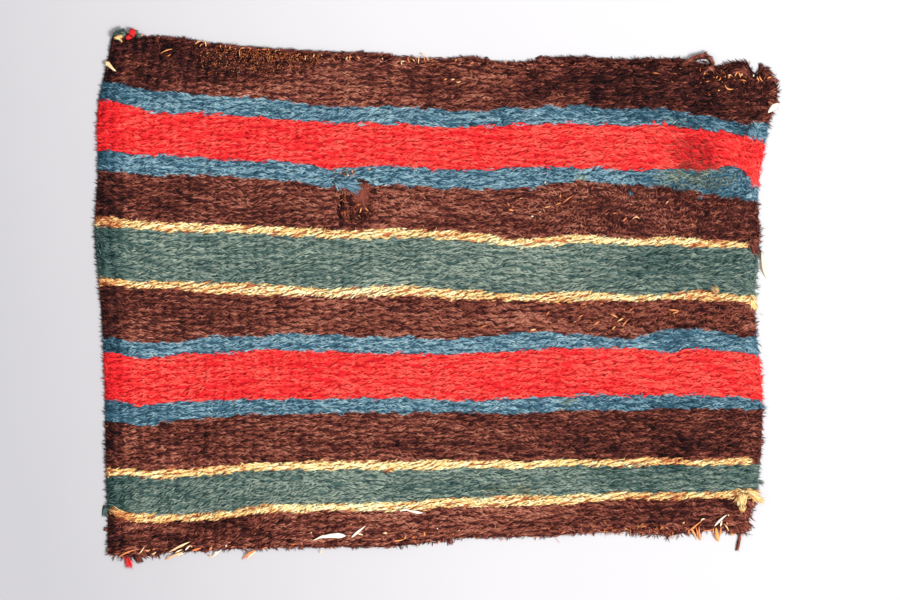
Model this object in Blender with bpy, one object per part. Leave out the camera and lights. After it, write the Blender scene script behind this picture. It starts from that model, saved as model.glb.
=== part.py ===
"""A woven mantle: one ribbed, tufted and striped cloth laid out flat, at real size.

Units are metres. +X runs to the right along the stripes, +Y towards the upper edge and +Z up.
The origin is on the flat underside, near the middle of the cloth.
"""

import math
from collections import namedtuple

import bmesh
import bpy
import numpy as np
from mathutils import Matrix, Vector, noise
from mathutils.bvhtree import BVHTree

# Driving dimensions
MM = 0.001
GAP = 0.3 * MM
PILE_HEIGHT = 8.0 * MM
RIM_HEIGHT = 4.6 * MM
RIM_ROW = 6.0 * MM
RIM_INSET = 4.0 * MM
RIM_UNEVENNESS = 0.12
RIM_WANDER = 1.6 * MM
RIM_WANDER_LENGTH = 26.0 * MM
SELVEDGE_BOW = 1.3 * MM
RIB_COUNT = 69
RIB_RELIEF = 0.65 * MM
STRIPE_TROUGH = 0.9 * MM
LUMP_RELIEF = 1.7 * MM
LUMP_LENGTH = 60.0 * MM
LUMP_WIDTH = 24.0 * MM

# Rounds in which the rows, which follow the stripes, and the side edges are fitted to each other
EDGE_ROUNDS = 4

# Outline of the cloth in millimetres: where each edge lies at places along it
EdgePlace = namedtuple("EdgePlace", "along across")
UPPER_EDGE = (
    EdgePlace(-436, 350),
    EdgePlace(-340, 339),
    EdgePlace(-235, 327),
    EdgePlace(-130, 320),
    EdgePlace(-50, 315),
    EdgePlace(110, 312),
    EdgePlace(240, 311),
    EdgePlace(335, 309),
    EdgePlace(372, 302),
    EdgePlace(402, 310),
    EdgePlace(424, 298),
    EdgePlace(437, 301),
    EdgePlace(450, 286),
)
LOWER_EDGE = (
    EdgePlace(-437, -341),
    EdgePlace(-415, -345),
    EdgePlace(-340, -338),
    EdgePlace(-230, -334),
    EdgePlace(-130, -332),
    EdgePlace(-50, -331),
    EdgePlace(30, -321),
    EdgePlace(135, -318),
    EdgePlace(240, -312),
    EdgePlace(300, -317),
    EdgePlace(370, -309),
    EdgePlace(415, -315),
)
LEFT_EDGE = (
    EdgePlace(350, -433),
    EdgePlace(310, -438),
    EdgePlace(255, -448),
    EdgePlace(160, -448),
    EdgePlace(80, -452),
    EdgePlace(20, -447),
    EdgePlace(-60, -442),
    EdgePlace(-240, -440),
    EdgePlace(-341, -437),
)
RIGHT_EDGE = (
    EdgePlace(300, 436),
    EdgePlace(270, 449),
    EdgePlace(240, 441),
    EdgePlace(180, 428),
    EdgePlace(140, 422),
    EdgePlace(80, 425),
    EdgePlace(-20, 418),
    EdgePlace(-100, 426),
    EdgePlace(-215, 426),
    EdgePlace(-260, 420),
    EdgePlace(-315, 406),
)

# Stripes from the upper edge down: where each one ends, in millimetres, at five places across
LINE_PLACES = (-430, -314, -50, 214, 406)
Stripe = namedtuple("Stripe", "colour rows far_left left middle right far_right")
STRIPES = (
    Stripe("brown", 3, 281, 263, 247, 246, 228),
    Stripe("blue", 1, 256, 240, 224, 223, 209),
    Stripe("red", 2, 190, 182, 169, 168, 156),
    Stripe("blue", 1, 165, 160, 147, 141, 131),
    Stripe("brown", 3, 103, 92, 87, 81, 66),
    Stripe("yellow", 1, 88, 82, 74, 69, 58),
    Stripe("green", 2, 21, 17, 11, 4, -1),
    Stripe("yellow", 1, 12, 5, 0, -8, -8),
    Stripe("brown", 2, -58, -59, -57, -53, -54),
    Stripe("blue", 1, -77, -78, -78, -70, -75),
    Stripe("red", 2, -139, -141, -139, -133, -137),
    Stripe("blue", 1, -165, -162, -156, -152, -149),
    Stripe("brown", 2, -230, -231, -222, -218, -218),
    Stripe("yellow", 1, -239, -240, -234, -226, -226),
    Stripe("green", 2, -285, -288, -276, -264, -259),
    Stripe("yellow", 1, -293, -298, -286, -276, -269),
    Stripe("brown", 2, None, None, None, None, None),
)

# Hollows in the pile, in millimetres: a worn bare patch, the thin pile near the upper left edge,
# and the nap brushed flat near the upper right corner
Hollow = namedtuple("Hollow", "x y half_length half_width depth")
HOLLOWS = (
    Hollow(-100, 135, 15, 24, 3.2),
    Hollow(-228, 306, 90, 26, 1.3),
    Hollow(340, 190, 60, 30, 0.9),
)

# Locks of pile that stand out of the rim, in millimetres
Locks = namedtuple("Locks", "reach_from reach_to lean tip_width tip_height seed")
LOCKS = {
    "upper": Locks(3, 11, 8, 2.0, 2.0, 3),
    "lower": Locks(4, 12, 9, 1.6, 1.8, 11),
    "right": Locks(4, 13, 6, 1.6, 1.8, 23),
    "left": Locks(3, 6, 1, 4.0, 3.0, 37),
}
LOCK_SPACING, LOCK_SPACING_SPREAD = 2, 2
LOCK_JITTER = 1.5 * MM
LEAN_LENGTH = 70.0 * MM
CHANCE_LENGTH = 9.0 * MM
CLEAR_OF_LOCKS = ((-428, -396), (384, 410))

# Finishes: colour as seen, roughness
Finish = namedtuple("Finish", "red green blue roughness")
FINISHES = {
    "brown": Finish(95, 45, 36, 0.85),
    "blue": Finish(92, 138, 168, 0.8),
    "red": Finish(232, 46, 46, 0.8),
    "yellow": Finish(250, 205, 130, 0.75),
    "green": Finish(84, 112, 106, 0.85),
    "quill": Finish(250, 232, 208, 0.45),
    "cord": Finish(110, 60, 50, 0.8),
}

# Small pieces that lie on the pile, in millimetres and degrees: pointed slivers of quill,
# pointed yarn ends and rounded tufts
Spindle = namedtuple("Spindle", "name finish x y length width height turn fullest")
SPINDLES = (
    Spindle("quill_sliver_large", "quill", -143, -320, 46, 7.0, 2.0, 9, 0.8),
    Spindle("quill_sliver_middle", "quill", -104, -312, 24, 3.6, 1.6, 40, 0.4),
    Spindle("quill_sliver_long", "quill", -35, -287, 33, 3.6, 1.6, -6, 0.6),
    Spindle("quill_sliver_lower_left", "quill", -342, -331, 34, 3.4, 1.6, 28, 0.5),
    Spindle("quill_sliver_lower_right", "quill", 374, -298, 26, 3.4, 1.6, 42, 0.4),
    Spindle("quill_chip_left", "quill", -430, 303, 18, 9.0, 2.4, -45, 0.2),
    Spindle("quill_chip_right", "quill", 443, 247, 19, 9.0, 2.4, 40, 0.6),
    Spindle("yellow_yarn_end", "yellow", 420, -266, 31, 9.0, 4.5, -34, 0.35),
    Spindle("yellow_yarn_tuft", "yellow", 399, -274, 30, 15.0, 6.0, 72, 0.6),
    Spindle("corner_red_yarn", "red", -402, 347, 13, 8.0, 5.0, -25, 0.5),
    Spindle("corner_pale_yarn", "yellow", -422, 337, 12, 5.5, 3.5, 8, 0.45),
)
SPINDLE_SIDES = 8
SPINDLE_RINGS = 7

# The knot at the upper left corner: a wound ball of yarn, in millimetres
KNOT_X, KNOT_Y = -419, 347
KNOT_LENGTH, KNOT_WIDTH, KNOT_HEIGHT = 20, 12, 7
KNOT_TURNS, KNOT_RIDGE, KNOT_SLANT = 4, 0.10, 9
KNOT_SIDES, KNOT_RINGS = 16, 13

# The red tuft and the warp cord's end, which lie on the ground against the lower edge
RED_TUFT_X, RED_TUFT_Y, RED_TUFT_TURN = -410, -352, -80
RED_TUFT_LENGTH, RED_TUFT_WIDTH, RED_TUFT_HEIGHT, RED_TUFT_FULLEST = 16, 9, 4, 0.3
CORD_END_X, CORD_END_LENGTH, CORD_END_DIAMETER, CORD_END_LEAN = 399, 22, 4.6, -3
CORD_END_STEPS = 4

# The loop of yarn over the upper right edge: its path in millimetres, from foot to foot
LoopPlace = namedtuple("LoopPlace", "x y z")
LOOP_PATH = (
    LoopPlace(322, 300, 9),
    LoopPlace(330, 306, 8),
    LoopPlace(338, 313, 6),
    LoopPlace(348, 317, 4),
    LoopPlace(358, 317, 4),
    LoopPlace(364, 311, 6),
    LoopPlace(363, 303, 8),
    LoopPlace(357, 297, 9),
)
LOOP_DIAMETER = 6.0
LOOP_SMOOTHING = 3

# A small piece starts this far off the cloth before it is brought to its seat
CLEARANCE = 40 * MM

# A tube's caps are joined to its wall within this distance
CAP_WELD = 0.01 * MM


def linear(channel):
    """A colour channel of 0 to 255, as seen, turned to linear light."""
    share = channel / 255
    return share / 12.92 if share <= 0.04045 else ((share + 0.055) / 1.055) ** 2.4


def finish(name):
    """The material of that name, made once."""
    if name in bpy.data.materials:
        return bpy.data.materials[name]
    look = FINISHES[name]
    material = bpy.data.materials.new(name)
    material.use_nodes = True
    shader = material.node_tree.nodes["Principled BSDF"]
    colour = [linear(channel) for channel in (look.red, look.green, look.blue)]
    shader.inputs["Base Color"].default_value = (*colour, 1)
    shader.inputs["Roughness"].default_value = look.roughness
    shader.inputs["Metallic"].default_value = 0
    material.diffuse_color = (*colour, 1)
    return material


def smooth_through(at, places, values):
    """Cubic reading of a short table, through each row and with slopes taken from the rows beside it."""
    places = np.asarray(places, float)
    values = np.asarray(values, float)
    slopes = np.gradient(values, places)
    at = np.clip(at, places[0], places[-1])
    cell = np.clip(np.searchsorted(places, at) - 1, 0, len(places) - 2)
    width = places[cell + 1] - places[cell]
    t = (at - places[cell]) / width
    return (
        (1 + 2 * t) * (1 - t) ** 2 * values[cell]
        + t * (1 - t) ** 2 * width * slopes[cell]
        + t**2 * (3 - 2 * t) * values[cell + 1]
        + t**2 * (t - 1) * width * slopes[cell + 1]
    )


def edge_at(table, along):
    """Where an edge lies, in metres, at the places along it."""
    rows = sorted(table)
    at = np.asarray(along) / MM
    return MM * smooth_through(at, [row.along for row in rows], [row.across for row in rows])


def line_at(number, x):
    """Y of the line above stripe `number`: the upper edge, the lines between stripes, the lower edge."""
    if number == 0:
        return edge_at(UPPER_EDGE, x) - RIM_INSET
    if number == len(STRIPES):
        return edge_at(LOWER_EDGE, x) + RIM_INSET
    return MM * smooth_through(np.asarray(x) / MM, LINE_PLACES, STRIPES[number - 1][2:])


# A row of the cloth's surface: the stripe it crosses, how far down that stripe, and an offset
RowLine = namedtuple("RowLine", "stripe share offset")


def row_lines():
    """Every row of the surface, from the upper edge to the lower, with a narrow row along each rim."""
    rows = [RowLine(0, 0, 0), RowLine(0, 0, -RIM_ROW)]
    for number, stripe in enumerate(STRIPES):
        rows += [RowLine(number, (i + 1) / stripe.rows, 0) for i in range(stripe.rows)]
    last = len(STRIPES)
    rows[-1] = RowLine(last - 1, 1, RIM_ROW)
    return rows + [RowLine(last - 1, 1, 0)]


def row_y(row, x):
    """Y of a row of the surface at the places x."""
    upper = line_at(row.stripe, x)
    lower = line_at(row.stripe + 1, x)
    return upper + (lower - upper) * row.share + row.offset


def surface_places(rows, columns):
    """X and Y of every point of the surface: columns keep their share of the width of each row."""
    share = np.linspace(0, 1, columns + 1)
    y = np.zeros((len(rows), columns + 1))
    for _ in range(EDGE_ROUNDS):
        left = edge_at(LEFT_EDGE, y) + RIM_INSET
        right = edge_at(RIGHT_EDGE, y) - RIM_INSET
        x = left + share * (right - left)
        y = np.array([row_y(row, line) for row, line in zip(rows, x)])
    return x, y


def pile_noise(x, y, length, width, seed):
    """Smooth noise between -1 and 1 with lumps of that length along the stripes."""
    return noise.noise(Vector((x / length, y / width, seed)))


def pile_height(x, y, column, row):
    """Height of the pile: an even slab, raised on ribs and lumps, lower between stripes and in hollows."""
    height = PILE_HEIGHT + LUMP_RELIEF * pile_noise(x, y, LUMP_LENGTH, LUMP_WIDTH, 0)
    height += RIB_RELIEF if column % 2 else -RIB_RELIEF
    if row.share == 1:
        height -= STRIPE_TROUGH
    for hollow in HOLLOWS:
        along = (x / MM - hollow.x) / hollow.half_length
        across = (y / MM - hollow.y) / hollow.half_width
        height -= hollow.depth * MM * max(0, 1 - along**2 - across**2)
    return height


def stripe_number(x, y):
    """The stripe that a point lies in, counted from the upper edge."""
    return sum(bool(y < line_at(number, x)) for number in range(1, len(STRIPES)))


def shape_surface(bm, columns, rows):
    """Turns the flat unit grid into the cloth's upper surface, with a lower, wandering rim."""
    x, y = surface_places(rows, columns)
    for vert in bm.verts:
        column = round((vert.co.x + 0.5) * columns)
        line = round((0.5 - vert.co.y) * (len(rows) - 1))
        place = Vector((x[line, column], y[line, column], 0))
        if vert.is_boundary:
            wander = pile_noise(place.x, place.y, RIM_WANDER_LENGTH, RIM_WANDER_LENGTH, 5)
            place += place.normalized() * RIM_WANDER * wander
            place.z = RIM_HEIGHT * (1 + RIM_UNEVENNESS * wander)
        else:
            place.z = pile_height(place.x, place.y, column, rows[line])
        vert.co = place


def split_side_edges(bm):
    """Cuts each rim edge of the two sides in three, and bows the cuts out a little, as a selvedge is."""
    for edge in [edge for edge in bm.edges if edge.is_boundary]:
        start, end = edge.verts
        along = end.co - start.co
        if abs(along.y) < abs(along.x):
            continue
        outward = Vector((math.copysign(SELVEDGE_BOW, start.co.x), 0, 0))
        places = [start.co.lerp(end.co, share) + outward for share in (1 / 3, 2 / 3)]
        first = bmesh.utils.edge_split(edge, start, 1 / 3)[1]
        second = bmesh.utils.edge_split(edge, first, 1 / 2)[1]
        first.co, second.co = places


def face_outwards(bm):
    """Turns every face of a closed mesh to point out of it."""
    bm.normal_update()
    bmesh.ops.recalc_face_normals(bm, faces=bm.faces)
    if bm.calc_volume(signed=True) < 0:
        bmesh.ops.reverse_faces(bm, faces=bm.faces)


def build_panel(collection):
    """The cloth: a lumpy ribbed slab with a flat underside and locks of pile at its rim."""
    rows = row_lines()
    columns = 2 * RIB_COUNT
    bm = bmesh.new()
    bmesh.ops.create_grid(bm, x_segments=columns, y_segments=len(rows) - 1, size=0.5)
    shape_surface(bm, columns, rows)
    split_side_edges(bm)
    rim = [edge for edge in bm.edges if edge.is_boundary]
    skirt = bmesh.ops.extrude_edge_only(bm, edges=rim)["geom"]
    walls = [face for face in skirt if isinstance(face, bmesh.types.BMFace)]
    for vert in (item for item in skirt if isinstance(item, bmesh.types.BMVert)):
        vert.co.z = 0
    hem = [edge for edge in bm.edges if edge.is_boundary]
    bmesh.ops.contextual_create(bm, geom=hem)
    face_outwards(bm)
    pull_locks(bm, walls)
    bmesh.ops.triangulate(bm, faces=[face for face in bm.faces if len(face.verts) > 4])
    mesh = bpy.data.meshes.new("mantle_panel")
    colours = sorted({stripe.colour for stripe in STRIPES})
    for colour in colours:
        mesh.materials.append(finish(colour))
    for face in bm.faces:
        place = face.calc_center_median()
        face.material_index = colours.index(STRIPES[stripe_number(place.x, place.y)].colour)
    bm.to_mesh(mesh)
    bm.free()
    panel = bpy.data.objects.new("mantle_panel", mesh)
    collection.objects.link(panel)
    return panel


def side_of(wall):
    """Which rim a wall belongs to, from the way it faces."""
    normal = wall.normal
    if abs(normal.y) > abs(normal.x):
        return "upper" if normal.y > 0 else "lower"
    return "right" if normal.x > 0 else "left"


def chosen_walls(walls, side):
    """Walls of one rim, unevenly spaced and never side by side, away from corners and kept-clear places."""
    axis = 0 if side in ("upper", "lower") else 1
    run = sorted((w for w in walls if side_of(w) == side), key=lambda w: w.calc_center_median()[axis])
    chosen = []
    step = LOCK_SPACING
    while step < len(run) - LOCK_SPACING:
        place = run[step].calc_center_median()
        if side != "lower" or not any(a < place.x / MM < b for a, b in CLEAR_OF_LOCKS):
            chosen.append(run[step])
        chance = 0.5 + 0.5 * pile_noise(place.x, place.y, CHANCE_LENGTH, CHANCE_LENGTH, LOCKS[side].seed)
        step += LOCK_SPACING + round(LOCK_SPACING_SPREAD * chance)
    return chosen


def pull_locks(bm, walls):
    """Draws chosen walls of the rim out into tapered locks that rest level on the ground."""
    chosen = {side: chosen_walls(walls, side) for side in LOCKS}
    for side, locks in LOCKS.items():
        for wall in chosen[side]:
            place = wall.calc_center_median()
            outward = Vector((wall.normal.x, wall.normal.y, 0)).normalized()
            along = Vector((-outward.y, outward.x, 0))
            chance = 0.5 + pile_noise(place.x, place.y, CHANCE_LENGTH, CHANCE_LENGTH, locks.seed)
            lean = 2 * pile_noise(place.x, place.y, LEAN_LENGTH, LEAN_LENGTH, locks.seed)
            jitter = pile_noise(place.y, place.x, CHANCE_LENGTH, CHANCE_LENGTH, locks.seed)
            reach = locks.reach_from + (locks.reach_to - locks.reach_from) * min(1, max(0, chance))
            tip = Vector((place.x, place.y, 0)) + MM * reach * outward
            tip += (MM * locks.lean * lean + LOCK_JITTER * jitter) * along
            for vert in bmesh.ops.extrude_discrete_faces(bm, faces=[wall])["faces"][0].verts:
                half = math.copysign(locks.tip_width / 2 * MM, (vert.co - place).dot(along))
                level = locks.tip_height * MM if vert.co.z > place.z else 0
                vert.co = tip + along * half + Vector((0, 0, level))


def new_piece(bm, name, finish_name, collection):
    """A small piece from its mesh, shaded smooth."""
    face_outwards(bm)
    mesh = bpy.data.meshes.new(name)
    bm.to_mesh(mesh)
    bm.free()
    mesh.shade_smooth()
    mesh.materials.append(finish(finish_name))
    piece = bpy.data.objects.new(name, mesh)
    collection.objects.link(piece)
    return piece


def tree_of(piece):
    """A search tree of a piece's faces."""
    bm = bmesh.new()
    bm.from_mesh(piece.data)
    tree = BVHTree.FromBMesh(bm)
    bm.free()
    return tree


def free_travel(points, tree, towards, most):
    """How far the points can go in that direction before one of them meets the tree."""
    hits = (tree.ray_cast(point, towards, most)[3] for point in points)
    return min((away for away in hits if away is not None), default=most)


def bring_to(piece, cloth, towards):
    """Slides a piece from CLEARANCE away towards the cloth, and leaves the gap between them."""
    towards = Vector(towards)
    mesh = piece.data
    mesh.transform(Matrix.Translation(-towards * CLEARANCE))
    cloth_tree = tree_of(cloth)
    travel = free_travel([vert.co for vert in mesh.vertices], cloth_tree, towards, 2 * CLEARANCE)
    middle = mesh.vertices[0].co
    near = [vert.co for vert in cloth.data.vertices if (vert.co - middle).length < 2 * CLEARANCE]
    travel = free_travel(near, tree_of(piece), -towards, travel)
    mesh.transform(Matrix.Translation(towards * travel))
    while cloth_tree.overlap(tree_of(piece)):
        mesh.transform(Matrix.Translation(-towards * GAP))
    mesh.transform(Matrix.Translation(-towards * GAP))


def spindle(length, width, height, fullest):
    """A flattened spindle along X, fullest at that share of its length from its left tip."""
    bm = bmesh.new()
    bmesh.ops.create_uvsphere(bm, u_segments=SPINDLE_SIDES, v_segments=SPINDLE_RINGS, radius=1)
    lopsided = math.log(fullest) / math.log(0.5)
    for vert in bm.verts:
        share = math.acos(max(-1, min(1, vert.co.z))) / math.pi
        along = (share**lopsided - 0.5) * length
        vert.co = Vector((along, vert.co.y * width / 2, vert.co.x * height / 2))
    return bm


def placed(x, y, z, turn):
    """Turns millimetres at the origin to metres at that place, turned by that many degrees."""
    turned = Matrix.Rotation(math.radians(turn), 4, "Z") @ Matrix.Scale(MM, 4)
    return Matrix.Translation(Vector((x, y, z)) * MM) @ turned


def build_spindle(row, collection, cloth):
    """A sliver of quill, a yarn end or a tuft, turned to its place and lying on the pile."""
    bm = spindle(row.length, row.width, row.height, row.fullest)
    bm.transform(placed(row.x, row.y, 0, row.turn))
    piece = new_piece(bm, row.name, row.finish, collection)
    bring_to(piece, cloth, (0, 0, -1))


def build_knot(collection, cloth):
    """The wound knot at the corner: a flattened ball with a ridge for each turn of yarn."""
    bm = bmesh.new()
    bmesh.ops.create_uvsphere(bm, u_segments=KNOT_SIDES, v_segments=KNOT_RINGS, radius=1)
    for vert in bm.verts:
        around = math.atan2(vert.co.y, vert.co.x)
        swell = 1 + KNOT_RIDGE * math.sin(KNOT_TURNS * around + KNOT_SLANT * vert.co.z)
        vert.co.x *= swell * KNOT_LENGTH / 2
        vert.co.y *= swell * KNOT_WIDTH / 2
        vert.co.z *= KNOT_HEIGHT / 2
    bm.transform(placed(KNOT_X, KNOT_Y, 0, 0))
    knot = new_piece(bm, "corner_knot", "green", collection)
    bring_to(knot, cloth, (0, 0, -1))


def build_red_tuft(collection, cloth):
    """The red tuft, which lies on the ground against the lower edge near its left end."""
    bm = spindle(RED_TUFT_LENGTH, RED_TUFT_WIDTH, RED_TUFT_HEIGHT, RED_TUFT_FULLEST)
    bm.transform(placed(RED_TUFT_X, RED_TUFT_Y, RED_TUFT_HEIGHT / 2, RED_TUFT_TURN))
    tuft = new_piece(bm, "lower_red_tuft", "red", collection)
    bring_to(tuft, cloth, (0, 1, 0))


def tube(name, finish_name, path, diameter, collection):
    """A round strand along a path, as a mesh with closed ends."""
    curve = bpy.data.curves.new(name, "CURVE")
    curve.dimensions = "3D"
    curve.bevel_depth = diameter / 2 * MM
    curve.bevel_resolution = 2
    curve.use_fill_caps = True
    line = curve.splines.new("POLY")
    line.points.add(len(path) - 1)
    for point, place in zip(line.points, path):
        point.co = (*(Vector(place) * MM), 1)
    guide = bpy.data.objects.new(name, curve)
    collection.objects.link(guide)
    graph = bpy.context.evaluated_depsgraph_get()
    bm = bmesh.new()
    bm.from_mesh(guide.evaluated_get(graph).to_mesh())
    bmesh.ops.remove_doubles(bm, verts=bm.verts, dist=CAP_WELD)
    bpy.data.objects.remove(guide)
    return new_piece(bm, name, finish_name, collection)


def build_cord_end(collection, cloth):
    """The end of a warp cord, which leaves the lower edge near its right end and lies on the ground."""
    start = float(edge_at(LOWER_EDGE, CORD_END_X * MM)) / MM
    shares = [step / CORD_END_STEPS for step in range(CORD_END_STEPS + 1)]
    path = [
        (CORD_END_X + CORD_END_LEAN * share**2, start - CORD_END_LENGTH * share, CORD_END_DIAMETER / 2)
        for share in shares
    ]
    cord = tube("warp_cord_end", "cord", path, CORD_END_DIAMETER, collection)
    bring_to(cord, cloth, (0, 1, 0))


def build_yarn_loop(collection, cloth):
    """The loop of brown yarn that stands out over the upper edge, its two feet on the pile."""
    places = np.arange(len(LOOP_PATH))
    steps = np.linspace(0, places[-1], LOOP_SMOOTHING * places[-1] + 1)
    path = np.stack([smooth_through(steps, places, axis) for axis in zip(*LOOP_PATH)], axis=1)
    loop = tube("edge_yarn_loop", "brown", path, LOOP_DIAMETER, collection)
    bring_to(loop, cloth, (0, 0, -1))


def main():
    for item in list(bpy.data.objects):
        bpy.data.objects.remove(item)
    collection = bpy.data.collections.new("Woven mantle")
    bpy.context.scene.collection.children.link(collection)
    panel = build_panel(collection)
    build_knot(collection, panel)
    for row in SPINDLES:
        build_spindle(row, collection, panel)
    build_red_tuft(collection, panel)
    build_cord_end(collection, panel)
    build_yarn_loop(collection, panel)


main()
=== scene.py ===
"""The dressed woven mantle: a striped, tufted cloth laid out flat, seen from straight above.

Units are metres. +X runs to the right along the stripes, +Y towards the upper edge and +Z up.
Tables are in millimetres and degrees, and a turn is counted from +X towards +Y.
"""

import logging
import math
from collections.abc import Sequence
from dataclasses import dataclass, field
from enum import Enum
from functools import cache
from typing import ClassVar

import bpy
import numpy as np
from numpy.typing import NDArray
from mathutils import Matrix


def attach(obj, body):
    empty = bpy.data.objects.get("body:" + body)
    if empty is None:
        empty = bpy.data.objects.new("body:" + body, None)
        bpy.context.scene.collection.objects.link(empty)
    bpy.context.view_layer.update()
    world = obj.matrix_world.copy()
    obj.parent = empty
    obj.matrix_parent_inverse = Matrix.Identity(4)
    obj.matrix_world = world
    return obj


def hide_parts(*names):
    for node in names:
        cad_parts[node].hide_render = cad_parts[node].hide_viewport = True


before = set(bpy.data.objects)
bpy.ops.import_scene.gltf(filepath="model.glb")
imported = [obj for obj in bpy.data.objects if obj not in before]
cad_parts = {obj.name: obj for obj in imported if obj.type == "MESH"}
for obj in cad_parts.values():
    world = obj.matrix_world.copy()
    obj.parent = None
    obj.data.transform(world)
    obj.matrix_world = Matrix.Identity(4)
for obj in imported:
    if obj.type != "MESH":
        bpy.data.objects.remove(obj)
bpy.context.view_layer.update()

log = logging.getLogger("woven mantle")

Array = NDArray[np.float64]
Places = tuple[tuple[float, float], ...]
Rows = tuple[tuple[float, ...], ...]
Seen = tuple[int, int, int]
Colour = tuple[float, float, float, float]

MM = 0.001
ONLY_BODY = "root"
FIBRE_SIDES = 3
FIRST_RIDGE = math.pi / 2
BAKE_MAP = "OFBake"
# Sockets of the Mix node for colours, by number, because it has the same names for every data type.
MIX_SHARE, MIX_BELOW, MIX_ABOVE, MIX_RESULT = 0, 6, 7, 2


class Yarn(Enum):
    """The dyed yarns of the pile."""

    BROWN = "brown"
    BLUE = "blue"
    RED = "red"
    YELLOW = "yellow"
    GREEN = "green"


class Slot(Enum):
    """The material slots of the record, by name."""

    CLOTH = "striped_cloth"
    GREY_GREEN = "grey_green_yarn"
    RED = "red_yarn"
    YELLOW = "yellow_yarn"
    CORD = "brown_cord"
    QUILL = "quill"


def linear(seen: Seen) -> Colour:
    """Turns a colour as seen into linear light, by the usual two-part display curve.

    Args:
        seen: red, green and blue, from 0 to 255.

    Returns:
        The linear colour with an alpha of 1.
    """
    red, green, blue = (
        share / 12.92 if share <= 0.04045 else ((share + 0.055) / 1.055) ** 2.4
        for share in (channel / 255 for channel in seen)
    )
    return (red, green, blue, 1.0)


def smoothstep(share: Array) -> Array:
    """Eases 0 to 1 with level ends, as 3t^2 - 2t^3, and holds the ends beyond."""
    share = np.clip(share, 0, 1)
    return share * share * (3 - 2 * share)


def smooth_through(at: Array, places: Sequence[float], values: Sequence[float]) -> Array:
    """Reads a short table as a cubic curve through its rows, with slopes from the rows beside each.

    Args:
        at: where to read; outside the table its end value holds.
        places: the rows' places, rising.
        values: the rows' values.

    Returns:
        The values at those places.
    """
    rows = np.asarray(places, float)
    heights = np.asarray(values, float)
    slopes = np.gradient(heights, rows)
    at = np.clip(at, rows[0], rows[-1])
    cell = np.clip(np.searchsorted(rows, at) - 1, 0, len(rows) - 2)
    width = rows[cell + 1] - rows[cell]
    t = (at - rows[cell]) / width
    return (
        (1 + 2 * t) * (1 - t) ** 2 * heights[cell]
        + t * (1 - t) ** 2 * width * slopes[cell]
        + t**2 * (3 - 2 * t) * heights[cell + 1]
        + t**2 * (t - 1) * width * slopes[cell + 1]
    )


@dataclass(frozen=True)
class Unevenness:
    """Smooth noise between -1 and 1: random numbers on a square lattice, eased from point to point."""

    seed: int
    size: int = 256

    def lattice(self) -> Array:
        """The random numbers of the lattice, the same each time."""
        return np.random.default_rng(self.seed).uniform(-1, 1, (self.size, self.size))

    def at(self, x: Array, y: Array, length: float, width: float) -> Array:
        """Reads the noise with lumps of one length along X and one width along Y.

        Args:
            x: places along X.
            y: places along Y.
            length: the lattice step along X.
            width: the lattice step along Y.

        Returns:
            The noise at each place.
        """
        lattice = self.lattice()
        across, up = x / length, y / width
        column, row = np.floor(across).astype(int), np.floor(up).astype(int)
        right, above = smoothstep(across - column), smoothstep(up - row)
        column, row = column % self.size, row % self.size
        next_column, next_row = (column + 1) % self.size, (row + 1) % self.size
        low = lattice[row, column] * (1 - right) + lattice[row, next_column] * right
        high = lattice[next_row, column] * (1 - right) + lattice[next_row, next_column] * right
        return low * (1 - above) + high * above

    def cell(self, row: NDArray[np.int_], column: NDArray[np.int_]) -> Array:
        """The lattice's own number of each cell, by its row and column."""
        return self.lattice()[row % self.size, column % self.size]


@dataclass(frozen=True)
class Stripe:
    """One stripe, by its yarn and by Y of the line where it ends, at the plan's line places.

    until is the X past which the fibres of a neighbour cover it, in millimetres.
    """

    yarn: Yarn
    ends: tuple[float, ...] = ()
    until: float = 500.0


@dataclass(frozen=True)
class Hollow:
    """An oval hollow in the cloth: its middle, half sizes and depth in millimetres."""

    x: float
    y: float
    half_x: float
    half_y: float
    depth: float


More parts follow.
